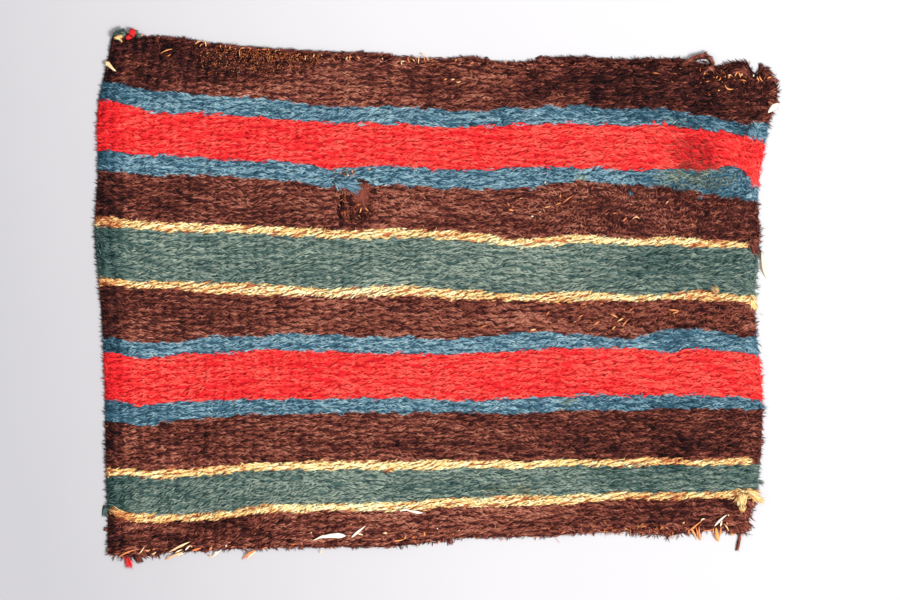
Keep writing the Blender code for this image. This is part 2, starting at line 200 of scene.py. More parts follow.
@dataclass(frozen=True)
class ClothPlan:
    """Where the cloth lies: its outline, its stripes and the height of its woven ground.

    The upper and lower edges are rows of X and Y, and the side edges are rows of Y and X. A line
    between stripes wanders by border_wander over wander_step, and by wide_wander of that again over
    wide_wander_step. Lumps are lump_length by lump_width. The ground rises over rim_width from
    rim_height to its full height, and outside the outline it is gone within edge_ease. Roots along
    a stripe are counted by stripe_length.
    """

    upper_edge: Places = (
        (-431, 341), (-412, 345), (-381, 341), (-340, 339), (-290, 329.5), (-235, 324.3),
        (-130, 318.6), (-100, 320), (-58, 315.5), (10, 311.5), (49, 314), (72, 308.5),
        (122, 308.5), (140, 312), (240, 311), (335, 309), (372, 302), (398, 308), (409, 306),
        (419, 291), (430, 301), (440, 295), (450, 284),
    )
    lower_edge: Places = (
        (-437, -341), (-415, -345), (-340, -338), (-230, -334), (-130, -332), (-50, -331),
        (30, -321), (135, -318), (240, -312), (300, -317), (370, -309), (415, -315),
    )
    left_edge: Places = (
        (-341, -435), (-300, -435), (-240, -437), (-60, -441), (20, -447), (80, -452), (160, -448),
        (255, -447), (310, -435), (350, -428),
    )
    right_edge: Places = (
        (-315, 406), (-260, 420), (-215, 426), (-100, 426), (-20, 418), (80, 425), (140, 422),
        (180, 428), (240, 441), (270, 449), (300, 436),
    )
    line_places: tuple[float, ...] = (
        -431, -390, -345, -308, -229, -139, -50, 46, 110, 182, 257, 300, 346, 406, 430,
    )
    stripes: tuple[Stripe, ...] = (
        Stripe(Yarn.BROWN, (282, 272, 268, 263, 260, 249, 249, 243, 248, 249, 246, 246, 238, 228, 227)),
        Stripe(Yarn.BLUE, (256, 243, 240, 240, 234, 228, 226, 220, 226, 227, 224, 224, 218, 210, 201)),
        Stripe(Yarn.RED, (191, 185, 183, 180, 177, 169, 169, 165, 169, 169, 165, 167, 165, 161, 133)),
        Stripe(Yarn.BLUE, (165, 160, 158, 158, 153, 143, 145, 139, 140, 150, 145, 143, 135, 126, 124)),
        Stripe(Yarn.BROWN, (104, 96, 94, 94, 91, 86, 88, 82, 74, 81, 75, 77, 73, 67, 60)),
        Stripe(Yarn.YELLOW, (88, 86, 84, 82, 81, 75, 75, 71, 63, 69, 66, 66, 64, 62, 58), 408),
        Stripe(Yarn.GREEN, (22, 18, 17, 17, 15, 9, 12, 7, 2, 6, 0, 1, 5, -2, -4)),
        Stripe(Yarn.YELLOW, (12, 9, 7, 4, -1, -3, -1, -7, -8, -9, -8, -7, -7, -9, -14)),
        Stripe(Yarn.BROWN, (-55, -61, -61, -57, -53, -53, -55, -57, -49, -53, -56, -46, -43, -54, -56)),
        Stripe(Yarn.BLUE, (-77, -84, -78, -77, -73, -75, -78, -77, -73, -70, -71, -75, -70, -77, -78)),
        Stripe(Yarn.RED, (
            -139, -147, -141, -140, -137, -137, -136, -139, -136, -132, -132, -131, -132, -136, -138,
        )),
        Stripe(Yarn.BLUE, (
            -166, -172, -164, -162, -158, -157, -156, -156, -156, -152, -153, -150, -150, -149, -149,
        )),
        Stripe(Yarn.BROWN, (
            -227, -232, -230, -228, -222, -219, -219, -219, -220, -218, -215, -215, -218, -216, -216,
        )),
        Stripe(Yarn.YELLOW, (
            -238, -240, -242, -238, -232, -231, -232, -228, -230, -225, -226, -224, -225, -225, -226,
        ), 412),
        Stripe(Yarn.GREEN, (
            -285, -289, -289, -288, -277, -276, -273, -267, -265, -264, -260, -261, -260, -257, -256,
        )),
        Stripe(Yarn.YELLOW, (
            -292, -300, -298, -298, -288, -285, -285, -279, -277, -275, -270, -271, -268, -268, -268,
        )),
        Stripe(Yarn.BROWN),
    )
    hollows: tuple[Hollow, ...] = (
        Hollow(-100, 135, 15, 24, 2.2),
        Hollow(-228, 306, 90, 26, 1.0),
        Hollow(340, 190, 60, 30, 0.7),
    )
    stripe_length: float = 0.874
    ribs: int = 69
    rib_relief: float = 0.65 * MM
    ground_height: float = 5.6 * MM
    rim_height: float = 1.6 * MM
    rim_width: float = 9.0 * MM
    edge_ease: float = 3.0 * MM
    lump_relief: float = 0.8 * MM
    lump_length: float = 60.0 * MM
    lump_width: float = 24.0 * MM
    border_wander: float = 1.44 * MM
    wander_step: float = 11.0 * MM
    wide_wander: float = 0.7
    wide_wander_step: float = 34.0 * MM
    wide_wander_row: int = 40
    lumps: Unevenness = Unevenness(41)
    borders: Unevenness = Unevenness(43)

    def edge(self, table: Places, along: Array) -> Array:
        """Reads where an edge lies at places along it, through the cubic curve of its table."""
        places, values = zip(*table)
        return MM * smooth_through(np.asarray(along) / MM, places, values)

    def line(self, number: int, x: Array) -> Array:
        """Y of the line above a stripe: the upper edge, a line between two stripes or the lower edge.

        A line between stripes wanders by a little noise, as the tufts on both sides of it do.

        Args:
            number: 0 for the upper edge, and the number of stripes for the lower one.
            x: places along the line.

        Returns:
            Y at those places.
        """
        if number == 0:
            return self.edge(self.upper_edge, x)
        if number == len(self.stripes):
            return self.edge(self.lower_edge, x)
        straight = smooth_through(x / MM, self.line_places, self.stripes[number - 1].ends)
        near_row, wide_row = np.full_like(x, number), np.full_like(x, number + self.wide_wander_row)
        wander = self.borders.at(x, near_row, self.wander_step, 1)
        wander += self.wide_wander * self.borders.at(x, wide_row, self.wide_wander_step, 1)
        return MM * straight + self.border_wander * wander

    def height(self, number: int) -> float:
        """A stripe's height in metres, halfway along the cloth."""
        middle = np.zeros(1)
        return float((self.line(number, middle) - self.line(number + 1, middle))[0])

    def places(self, number: int, share_x: Array, share_y: Array) -> tuple[Array, Array]:
        """Finds places in a stripe from shares of its length and depth, by fitting X and Y in turn.

        Args:
            number: the stripe, counted from the upper edge.
            share_x: share of the way from the left edge to the right one.
            share_y: share of the way down the stripe.

        Returns:
            X and Y of the places.
        """
        x = np.zeros_like(share_x)
        y = np.zeros_like(share_x)
        for _ in range(4):
            upper, lower = self.line(number, x), self.line(number + 1, x)
            y = upper + (lower - upper) * share_y
            left, right = self.edge(self.left_edge, y), self.edge(self.right_edge, y)
            x = left + (right - left) * share_x
        return x, y

    def depth(self, x: Array, y: Array) -> Array:
        """How far inside the outline a place is.

        Args:
            x: places along X.
            y: places along Y.

        Returns:
            The least of the distances to the four edges along X or Y, below 0 outside.
        """
        return np.minimum.reduce(
            [
                self.edge(self.upper_edge, x) - y,
                y - self.edge(self.lower_edge, x),
                x - self.edge(self.left_edge, y),
                self.edge(self.right_edge, y) - x,
            ]
        )

    def rib_wave(self, x: Array, y: Array) -> Array:
        """The ribs as a cosine wave of the share of the cloth's width, 1 on a rib and -1 beside it."""
        left, right = self.edge(self.left_edge, y), self.edge(self.right_edge, y)
        return np.cos(2 * np.pi * self.ribs * (x - left) / (right - left))

    def ground(self, x: Array, y: Array) -> Array:
        """Height of the woven ground: an even bed with ribs, lumps and hollows, eased down at the rim.

        Args:
            x: places along X.
            y: places along Y.

        Returns:
            The height there, and 0 outside the cloth.
        """
        body = self.ground_height + self.rib_relief * self.rib_wave(x, y)
        body = body + self.lump_relief * self.lumps.at(x, y, self.lump_length, self.lump_width)
        for hollow in self.hollows:
            along = (x / MM - hollow.x) / hollow.half_x
            across = (y / MM - hollow.y) / hollow.half_y
            body = body - hollow.depth * MM * np.clip(1 - along**2 - across**2, 0, 1)
        depth = self.depth(x, y)
        bed = self.rim_height + (body - self.rim_height) * smoothstep(depth / self.rim_width)
        return bed * smoothstep(1 + depth / self.edge_ease)


PLAN = ClothPlan()


@dataclass
class Surface:
    """A closed surface of triangles with its bake map and its numbers at each point."""

    points: Array
    faces: NDArray[np.int32]
    places: Array
    numbers: dict[str, Array] = field(default_factory=dict)

    @staticmethod
    def joined(parts: Sequence["Surface"]) -> "Surface":
        """Joins surfaces into one, and stacks their bake maps in bands as high as their faces are many.

        Args:
            parts: surfaces with the same set of numbers.

        Returns:
            One surface.
        """
        starts = np.cumsum([0] + [len(part.points) for part in parts])
        counts = np.array([len(part.faces) for part in parts], float)
        bands = np.concatenate([[0], np.cumsum(counts / counts.sum())])
        maps = [
            part.places * (1, high - low) + (0, low)
            for part, low, high in zip(parts, bands, bands[1:])
        ]
        return Surface(
            np.concatenate([part.points for part in parts]),
            np.concatenate([part.faces + start for part, start in zip(parts, starts)]),
            np.concatenate(maps),
            {key: np.concatenate([part.numbers[key] for part in parts]) for key in parts[0].numbers},
        )

    def piece(self, name: str, materials: Sequence[bpy.types.Material], slot: Slot) -> bpy.types.Object:
        """Makes the surface a piece of the model, shaded smooth, that rides on the only body.

        Args:
            name: the piece's name.
            materials: its materials; every face starts with the first.
            slot: a slot of the record; not used.

        Returns:
            The piece's object, at the origin.
        """
        mesh = bpy.data.meshes.new(name)
        mesh.vertices.add(len(self.points))
        mesh.vertices.foreach_set("co", self.points.astype(np.float32).ravel())
        mesh.loops.add(self.faces.size)
        mesh.loops.foreach_set("vertex_index", self.faces.astype(np.int32).ravel())
        mesh.polygons.add(len(self.faces))
        mesh.polygons.foreach_set("loop_start", np.arange(0, self.faces.size, 3, dtype=np.int32))
        mesh.update(calc_edges=True)
        chart = mesh.uv_layers.new(name=BAKE_MAP)
        chart.uv.foreach_set("vector", self.places.astype(np.float32).ravel())
        for key, values in self.numbers.items():
            numbers = mesh.attributes.new(key, "FLOAT", "POINT")
            numbers.data.foreach_set("value", values.astype(np.float32))
        for material in materials:
            mesh.materials.append(material)
        mesh.validate()
        mesh.shade_smooth()
        piece = bpy.data.objects.new(name, mesh)
        bpy.context.scene.collection.objects.link(piece)
        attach(piece, ONLY_BODY)
        log.info("%s: %d points, %d triangles", name, len(self.points), len(self.faces))
        return piece


def cell_corners(count: int, room: float = 0.86) -> tuple[Array, Array, float, float]:
    """Lays out cells of a bake map, three times as wide as high, row by row.

    Args:
        count: how many cells are needed.
        room: the share of each cell that is used, so that neighbours stay apart.

    Returns:
        Lower left corner of each cell along both axes, and the used width and height.
    """
    columns = max(1, round(math.sqrt(count / 3)))
    rows = math.ceil(count / columns)
    number = np.arange(count)
    width, height = 1 / columns, 1 / rows
    left = (number % columns + (1 - room) / 2) * width
    low = (number // columns + (1 - room) / 2) * height
    return left, low, width * room, height * room


def tube_pattern(stations: int, sides: int) -> tuple[NDArray[np.int32], Array]:
    """Faces of one closed tube whose ends are single points, and where their corners lie unrolled.

    Points are numbered from the first tip, ring by ring, to the last tip. Each side of the tube is
    a strip of the map as long as the tube, and a tip is in the middle of its strip's end.

    Args:
        stations: places along the tube, both tips counted.
        sides: points in a ring.

    Returns:
        The faces' points, and along and around, from 0 to 1, of each face's corners.
    """
    last = 1 + sides * (stations - 2)
    faces: list[tuple[int, int, int]] = []
    chart: list[tuple[tuple[float, float], ...]] = []
    for side in range(sides):
        after = (side + 1) % sides
        low, middle, high = side / sides, (side + 0.5) / sides, (side + 1) / sides
        step = 1 / (stations - 1)
        faces.append((0, 1 + side, 1 + after))
        chart.append(((0, middle), (step, low), (step, high)))
        for ring in range(stations - 3):
            near, far = 1 + ring * sides, 1 + (ring + 1) * sides
            start, end = (ring + 1) * step, (ring + 2) * step
            faces.append((near + side, far + side, far + after))
            chart.append(((start, low), (end, low), (end, high)))
            faces.append((near + side, far + after, near + after))
            chart.append(((start, low), (end, high), (start, high)))
        end_ring = 1 + (stations - 3) * sides
        faces.append((end_ring + side, last, end_ring + after))
        chart.append(((1 - step, low), (1, middle), (1 - step, high)))
    return np.array(faces, np.int32), np.array(chart, float)


def unit(vectors: Array) -> Array:
    """Vectors brought to a length of 1 along their last axis."""
    return vectors / np.maximum(np.linalg.norm(vectors, axis=-1, keepdims=True), 1e-12)


def tubes(
    paths: Array,
    half_widths: Array,
    half_heights: Array,
    ring: Array,
    numbers: dict[str, Array],
) -> Surface:
    """Carries a ring along many paths: a point is path + width * cos * side + height * sin * up.

    Side is level and square to the path, and up is square to both. The path's first and last places
    are single points, so each tube is closed.

    Args:
        paths: places of each tube, as tubes by stations by 3.
        half_widths: half the tube's width at each station.
        half_heights: half its height at each station.
        ring: turn and size of each point of the ring, as stations by sides by 2, or sides by 2.
        numbers: numbers of each tube, or of each tube's stations, kept at its points.

    Returns:
        One closed surface for all the tubes.
    """
    count, stations, _ = paths.shape
    ring = np.broadcast_to(ring, (stations, *ring.shape[-2:]))
    sides = ring.shape[1]
    along = unit(np.gradient(paths, axis=1))
    side = unit(np.cross(along, (0.0, 0.0, 1.0)))
    up = np.cross(side, along)
    cosine = (np.cos(ring[..., 0]) * ring[..., 1])[None, :, :, None]
    sine = (np.sin(ring[..., 0]) * ring[..., 1])[None, :, :, None]
    rings = (
        paths[:, :, None]
        + half_widths[:, :, None, None] * cosine * side[:, :, None]
        + half_heights[:, :, None, None] * sine * up[:, :, None]
    )[:, 1:-1].reshape(count, -1, 3)
    points = np.concatenate([paths[:, :1], rings, paths[:, -1:]], axis=1)
    faces, chart = tube_pattern(stations, sides)
    left, low, width, height = cell_corners(count)
    shares = chart[None] * (width, height) + np.stack([left, low], axis=-1)[:, None, None]
    station = np.concatenate([[0], np.repeat(np.arange(1, stations - 1), sides), [stations - 1]])
    spread = {
        key: np.broadcast_to(values.reshape(count, -1), (count, stations))[:, station].ravel()
        for key, values in numbers.items()
    }
    spread["along"] = np.tile(station / (stations - 1), count)
    starts = (np.arange(count) * points.shape[1])[:, None, None]
    return Surface(
        points.reshape(-1, 3),
        (faces[None] + starts).reshape(-1, 3),
        shares.reshape(-1, 2),
        spread,
    )


@dataclass
class Fibres:
    """Tapered three-sided fibres as arrays with one value a fibre; lengths in metres, turns in radians.

    A fibre starts at x, y with its turn and bends evenly by its curl on the way. Its height over the
    ground runs through start, middle and end. Its middle line stays over the floor by lowest and by
    rest of its width.
    """

    x: Array
    y: Array
    turn: Array
    length: Array
    width: Array
    curl: Array
    start: Array
    middle: Array
    end: Array
    tint: Array
    stain: Array

    thickness: ClassVar[float] = 0.55
    lowest: ClassVar[float] = 0.45 * MM
    rest: ClassVar[float] = 0.3
    taper_from: ClassVar[float] = 0.1
    taper_run: ClassVar[float] = 0.86
    taper_power: ClassVar[float] = 0.7

    def kept(self, chosen: NDArray[np.bool_]) -> "Fibres":
        """Only the fibres that are chosen."""
        return Fibres(**{key: values[chosen] for key, values in vars(self).items()})

    def plan_path(self, stations: int) -> tuple[Array, Array, Array]:
        """The fibre seen from above: even steps along a heading that turns evenly from start to end.

        Args:
            stations: places along each fibre.

        Returns:
            Share of the length, X and Y of each station.
        """
        share = np.linspace(0, 1, stations)[None]
        heading = self.turn[:, None] + self.curl[:, None] * share
        middle = (heading[:, 1:] + heading[:, :-1]) / 2
        step = (self.length / (stations - 1))[:, None]
        zero = np.zeros((len(self.x), 1))
        x = self.x[:, None] + np.concatenate([zero, np.cumsum(np.cos(middle) * step, 1)], 1)
        y = self.y[:, None] + np.concatenate([zero, np.cumsum(np.sin(middle) * step, 1)], 1)
        return share, x, y

    def surface(self, stations: int, base: Array | None = None) -> Surface:
        """The fibres' closed surface, lying on the cloth's ground or on a level of its own.

        Height over the base is start * (1-t)(1-2t) + 4 * middle * t(1-t) + end * t(2t-1), which
        passes through all three values. Half the width is width / 2 * sin(pi * (from + run * t))
        raised to the taper's power, and the first and last stations are points.

        Args:
            stations: places along each fibre, both tips counted.
            base: the level under each fibre, where it isn't the cloth's ground.

        Returns:
            The surface, with each fibre's tint and stain.
        """
        share, x, y = self.plan_path(stations)
        start, middle, end = self.start[:, None], self.middle[:, None], self.end[:, None]
        rise = start * (1 - share) * (1 - 2 * share) + 4 * middle * share * (1 - share)
        rise = rise + end * share * (2 * share - 1)
        level = PLAN.ground(x, y) if base is None else base[:, None] + np.zeros_like(x)
        z = np.maximum(level + rise, self.lowest + self.width[:, None] * self.rest)
        bulge = np.clip(share * self.taper_run + self.taper_from, 0, 1)
        taper = np.sin(np.pi * bulge) ** self.taper_power
        half = self.width[:, None] / 2 * taper
        turns = FIRST_RIDGE + 2 * np.pi * np.arange(FIBRE_SIDES) / FIBRE_SIDES
        ring = np.stack([turns, np.ones(FIBRE_SIDES)], axis=-1)
        paths = np.stack([x, y, z], axis=-1)
        numbers = {"tint": self.tint, "stain": self.stain}
        return tubes(paths, half, half * self.thickness, ring, numbers)


class Wire:
    """A number on its way through a material, so that its maths is written as an expression."""

    def __init__(self, recipe: "Recipe", socket: bpy.types.NodeSocket) -> None:
        """Keeps the recipe that it belongs to and the socket that it comes from."""
        self.recipe = recipe
        self.socket = socket

    def joined(self, operation: str, first: "Wire | float", second: "Wire | float") -> "Wire":
        """Adds one Math node to the recipe and returns its result."""
        inputs = {0: first, 1: second}
        return self.recipe.wire("ShaderNodeMath", "Value", {"operation": operation}, inputs)

    def __add__(self, other: "Wire | float") -> "Wire":
        """Sum of two numbers."""
        return self.joined("ADD", self, other)

    def __radd__(self, other: float) -> "Wire":
        """Sum with a plain number first."""
        return self.joined("ADD", other, self)

    def __sub__(self, other: "Wire | float") -> "Wire":
        """Difference of two numbers."""
        return self.joined("SUBTRACT", self, other)

    def __rsub__(self, other: float) -> "Wire":
        """Difference with a plain number first."""
        return self.joined("SUBTRACT", other, self)

    def __mul__(self, other: "Wire | float") -> "Wire":
        """Product of two numbers."""
        return self.joined("MULTIPLY", self, other)

    def __rmul__(self, other: float) -> "Wire":
        """Product with a plain number first."""
        return self.joined("MULTIPLY", other, self)

    def __truediv__(self, other: "Wire | float") -> "Wire":
        """Quotient of two numbers."""
        return self.joined("DIVIDE", self, other)

    def __rtruediv__(self, other: float) -> "Wire":
        """Quotient with a plain number first."""
        return self.joined("DIVIDE", other, self)


class Recipe:
    """A material being made: its nodes, and the shader that they feed."""

    def __init__(self, name: str, roughness: float, gloss: float = 0.12) -> None:
        """Starts a material that isn't metal.

        Args:
            name: the material's name.
            roughness: how rough it is all over.
            gloss: its specular level.
        """
        self.material = bpy.data.materials.new(name)
        self.material.use_nodes = True
        self.tree = self.material.node_tree
        self.shader = self.tree.nodes["Principled BSDF"]
        self.shader.inputs["Roughness"].default_value = roughness
        self.shader.inputs["Specular IOR Level"].default_value = gloss
        self.shader.inputs["Metallic"].default_value = 0.0
        coordinates = self.node("ShaderNodeTexCoord", {}, {})
        self.place = coordinates.outputs["Object"]

    def node(self, kind: str, settings: dict, inputs: dict) -> bpy.types.Node:
        """Adds a node of any kind.

        Args:
            kind: the node's type.
            settings: its properties, set before its sockets; "stops" sets a ramp's places and colours.
            inputs: values or links of its sockets, by name or number.

        Returns:
            The node.
        """
        node = self.tree.nodes.new(kind)
        for key, value in settings.items():
            if key == "stops":
                ramp = node.color_ramp
                while len(ramp.elements) < len(value):
                    ramp.elements.new(1.0)
                for element, (place, colour) in zip(ramp.elements, value):
                    element.position = place
                    element.color = colour
            else:
                setattr(node, key, value)
        for key, value in inputs.items():
            socket = value.socket if isinstance(value, Wire) else value
            if isinstance(socket, bpy.types.NodeSocket):
                self.tree.links.new(socket, node.inputs[key])
            else:
                node.inputs[key].default_value = socket
        return node

    def wire(self, kind: str, output: str | int, settings: dict, inputs: dict) -> Wire:
        """Adds a node and returns one of its outputs."""
        return Wire(self, self.node(kind, settings, inputs).outputs[output])

    def number(self, name: str) -> Wire:
        """A number kept at the piece's points."""
        return self.wire("ShaderNodeAttribute", "Fac", {"attribute_name": name}, {})

    def grain(self, stretch: tuple[float, float, float], detail: float = 2.0) -> Wire:
        """Noise from 0 to 1 over the object's own place.

        Args:
            stretch: lumps in a metre along X, Y and Z.
            detail: how many finer layers are added.

        Returns:
            The noise.
        """
        mapping = self.node("ShaderNodeMapping", {}, {"Vector": self.place, "Scale": stretch})
        inputs = {"Vector": mapping.outputs["Vector"], "Scale": 1.0, "Detail": detail}
        return self.wire("ShaderNodeTexNoise", "Fac", {}, inputs)

    def axis(self, name: str) -> Wire:
        """The object's own X, Y or Z in metres."""
        return self.wire("ShaderNodeSeparateXYZ", name, {}, {"Vector": self.place})

    def ramp(self, value: Wire, stops: Sequence[tuple[float, Seen]]) -> Wire:
        """A colour read from stops along a number."""
        placed = [(place, linear(seen)) for place, seen in stops]
        return self.wire("ShaderNodeValToRGB", "Color", {"stops": placed}, {"Fac": value})

    def mix(self, share: Wire, below: Wire, above: Wire) -> Wire:
        """One colour over another, by how much of the one above shows."""
        settings = {"data_type": "RGBA", "blend_type": "MIX", "clamp_factor": True}
        inputs = {MIX_SHARE: share, MIX_BELOW: below, MIX_ABOVE: above}
        return self.wire("ShaderNodeMix", MIX_RESULT, settings, inputs)

    def finish(self, colour: Wire, relief: Wire, depth: float) -> None:
        """Feeds the shader its colour and a bump.

        Args:
            colour: the base colour.
            relief: height from 0 to 1.
            depth: how high a relief of 1 stands, in metres.
        """
        self.tree.links.new(colour.socket, self.shader.inputs["Base Color"])
        inputs = {"Height": relief, "Distance": depth, "Strength": 1.0}
        bump = self.node("ShaderNodeBump", {}, inputs)
        self.tree.links.new(bump.outputs["Normal"], self.shader.inputs["Normal"])


@dataclass(frozen=True)
class YarnFinish:
    """Dyed wool: its colour from gaps in painted shade to lit tips in painted light, and its stain.

    pile_places and bed_places are where the colours stand along the tint or the streaks. Sizes count
    lumps in a metre along X, Y and Z. grain_share and tip_share are how much the grain and the way
    along a fibre change its tint; the way along is painted shade at the root, down in the pile, and
    painted light at the tip.
    """

    name: str
    gap: Seen
    dark: Seen
    middle: Seen
    light: Seen
    stain: Seen
    roughness: float = 0.86
    pile_places: tuple[float, ...] = (0.0, 0.28, 0.6, 1.0)
    stain_place: float = 0.8
    bed_places: tuple[float, ...] = (0.25, 0.6, 0.85)
    grain_size: tuple[float, float, float] = (900, 1400, 900)
    grain_share: float = 0.3
    grain_depth: float = 0.3 * MM
    tip_share: float = 0.16
    streak_size: tuple[float, float, float] = (110, 700, 110)
    streak_depth: float = 0.8 * MM

    @cache
    def material(self) -> bpy.types.Material:
        """The wool's material: fibre tint plus fine grain through a ramp, and stained fibres over it.

        Returns:
            The material, made once.
        """
        recipe = Recipe(f"{self.name}_pile", self.roughness)
        grain = recipe.grain(self.grain_size)
        tint = recipe.number("tint") + self.grain_share * (grain - 0.5)
        # Painted shade and light: each fibre is darker at its root and lighter towards its tip.
        tint = tint + self.tip_share * (recipe.number("along") - 0.5)
        # The gap colour is painted shade between the fibres; the light colour is partly the yarn's paler
        # fibres and partly painted light on lit tips.
        seen = (self.gap, self.dark, self.middle, self.light)
        colour = recipe.ramp(tint, tuple(zip(self.pile_places, seen)))
        stained = recipe.ramp(tint, ((0.0, self.gap), (self.stain_place, self.stain)))
        colour = recipe.mix(recipe.number("stain"), colour, stained)
        recipe.finish(colour, grain, self.grain_depth)
        return recipe.material

    @cache
    def bed(self) -> bpy.types.Material:
        """The ground under the pile, in painted shade: the yarn's darker colours in streaks along the weft,
        with weft ribs.

        Returns:
            The material, made once.
        """
        recipe = Recipe(f"{self.name}_ground", self.roughness)
        streak = recipe.grain(self.streak_size, 3.0)
        # Painted shade: the ground takes the yarn's gap, dark and middle colours, as deep under the pile.
        stops = tuple(zip(self.bed_places, (self.gap, self.dark, self.middle)))
        recipe.finish(recipe.ramp(streak, stops), streak, self.streak_depth)
        return recipe.material


@dataclass(frozen=True)
class StiffFinish:
    """A stiff plant fibre or quill, from orange to cream, with a dull gloss."""

    name: str
    shade: Seen
    orange: Seen
    straw: Seen
    cream: Seen
    white: Seen
    roughness: float = 0.5
    gloss: float = 0.4
    grain_size: tuple[float, float, float] = (500, 700, 500)
    grain_share: float = 0.3
    grain_depth: float = 0.3 * MM

    def material(self) -> bpy.types.Material:
        """The fibre's material: its tint and a fine grain through a ramp, grooved by the same grain.

        Returns:
            The material.
        """
        recipe = Recipe(self.name, self.roughness, self.gloss)
        grain = recipe.grain(self.grain_size, 3.0)
        tint = recipe.number("tint") + self.grain_share * (grain - 0.5)
        seen = (self.shade, self.orange, self.straw, self.cream, self.white)
        stops = tuple(zip((0.0, 0.25, 0.5, 0.75, 1.0), seen))
        recipe.finish(recipe.ramp(tint, stops), grain, self.grain_depth)
        return recipe.material


@dataclass(frozen=True)
class FloorFinish:
    """The plain pale floor, a little greyer to the left in painted shade, where less light falls."""

    left: Seen = (170, 168, 170)
    middle: Seen = (201, 198, 199)
    right: Seen = (208, 207, 207)
    roughness: float = 0.9
    gloss: float = 0.5
    slope: float = 0.2
    width: float = 1.2
    mottle_share: float = 0.03
    mottle_depth: float = 0.1 * MM

    def material(self) -> bpy.types.Material:
        """The floor's material: its colour along X and a little along Y, with a very faint mottle.

        Returns:
            The material.
        """
        recipe = Recipe("floor", self.roughness, self.gloss)
        mottle = recipe.grain((9, 9, 9), 1.0)
        # Painted shade: the colour runs from grey at the left to near white at the right, and a little
        # along Y.
        share = (recipe.axis("X") + self.slope * recipe.axis("Y")) / self.width + 0.5
        share = share + self.mottle_share * (mottle - 0.5)
        stops = ((0.0, self.left), (0.5, self.middle), (0.95, self.right))
        recipe.finish(recipe.ramp(share, stops), mottle, self.mottle_depth)
        return recipe.material


YARNS: dict[Yarn, YarnFinish] = {
    Yarn.BROWN: YarnFinish(
        "brown", (6, 6, 10), (76, 34, 30), (150, 80, 64), (206, 136, 110), (180, 92, 60)
    ),
    Yarn.BLUE: YarnFinish(
        "blue", (22, 44, 56), (60, 99, 117), (128, 166, 182), (178, 206, 210), (150, 156, 124)
    ),
    Yarn.RED: YarnFinish(
        "red", (140, 10, 20), (226, 34, 42), (255, 56, 56), (255, 106, 92), (150, 62, 52)
    ),
    Yarn.YELLOW: YarnFinish(
        "yellow", (90, 40, 30), (202, 116, 74), (255, 218, 140), (255, 250, 202), (236, 136, 64)
    ),
    Yarn.GREEN: YarnFinish(
        "green", (16, 46, 46), (77, 102, 96), (132, 148, 136), (174, 186, 168), (150, 140, 92)
    ),
}
WORN_FELT = YarnFinish(
    "worn_felt", (40, 14, 12), (92, 42, 34), (134, 68, 54), (158, 86, 68), (150, 70, 54)
)
STIFF_FIBRE = StiffFinish(
    "plant_fibre", (120, 48, 26), (218, 108, 54), (242, 160, 92), (252, 214, 162), (255, 244, 226)
)
BROWN_CORD = YarnFinish(
    "cord", (26, 10, 10), (84, 38, 30), (150, 78, 62), (210, 130, 104), (120, 60, 50)
)
GREY_YARN = YarnFinish(
    "grey_green", (6, 14, 16), (44, 62, 58), (100, 120, 108), (176, 188, 170), (120, 124, 96)
)


@dataclass(frozen=True)
class NapPatch:
    """An oval place where the nap lies in its own way, and what changes in it.

    turn and spread are degrees added to the fibres' turn and to its chance; length is the share by
    which fibres grow; shade is added to their tint; stain is the share of fibres that are stained;
    bare is the share of fibres that are worn away. fullness sets how wide the middle is, where a
    patch has its whole weight.
    """

    x: float
    y: float
    half_x: float
    half_y: float
    turn: float = 0.0
    spread: float = 0.0
    length: float = 0.0
    shade: float = 0.0
    stain: float = 0.0
    bare: float = 0.0

    fullness: ClassVar[float] = 1.6

    def weight(self, x: Array, y: Array) -> Array:
        """1 in the middle of the oval, eased to 0 at its rim."""
        away = np.hypot((x / MM - self.x) / self.half_x, (y / MM - self.y) / self.half_y)
        return smoothstep(self.fullness * (1 - away))


@dataclass(frozen=True)
class Nap:
    """How one yarn's fibres lie and gather into tufts, in millimetres and degrees.

    spread and curl are chance turns of one fibre; lean is a chance turn of a whole tuft; gather is
    the share of the way that a fibre is drawn to its tuft's middle; depth is how much darker a
    tuft's sides are than its middle, as painted shade between tufts; shade is the chance shade of a
    whole tuft, waves the shade of wider places, tips how much lighter a tuft's end is than its start,
    as painted shade on a start that lies under the tuft before, stray a tuft's chance way across the
    nap, and edge_shade how much darker the stripe is along its two lines.
    """

    length: float
    width: float
    spread: float
    curl: float
    turn: float = 0.0
    tuft_length: float = 10.0
    tuft_width: float = 5.0
    lean: float = 16.0
    gather: float = 0.2
    depth: float = 0.12
    shade: float = 0.12
    waves: float = 0.1
    tips: float = 0.1
    stray: float = 2.2
    edge_shade: float = 0.0
    tint: float = 0.55


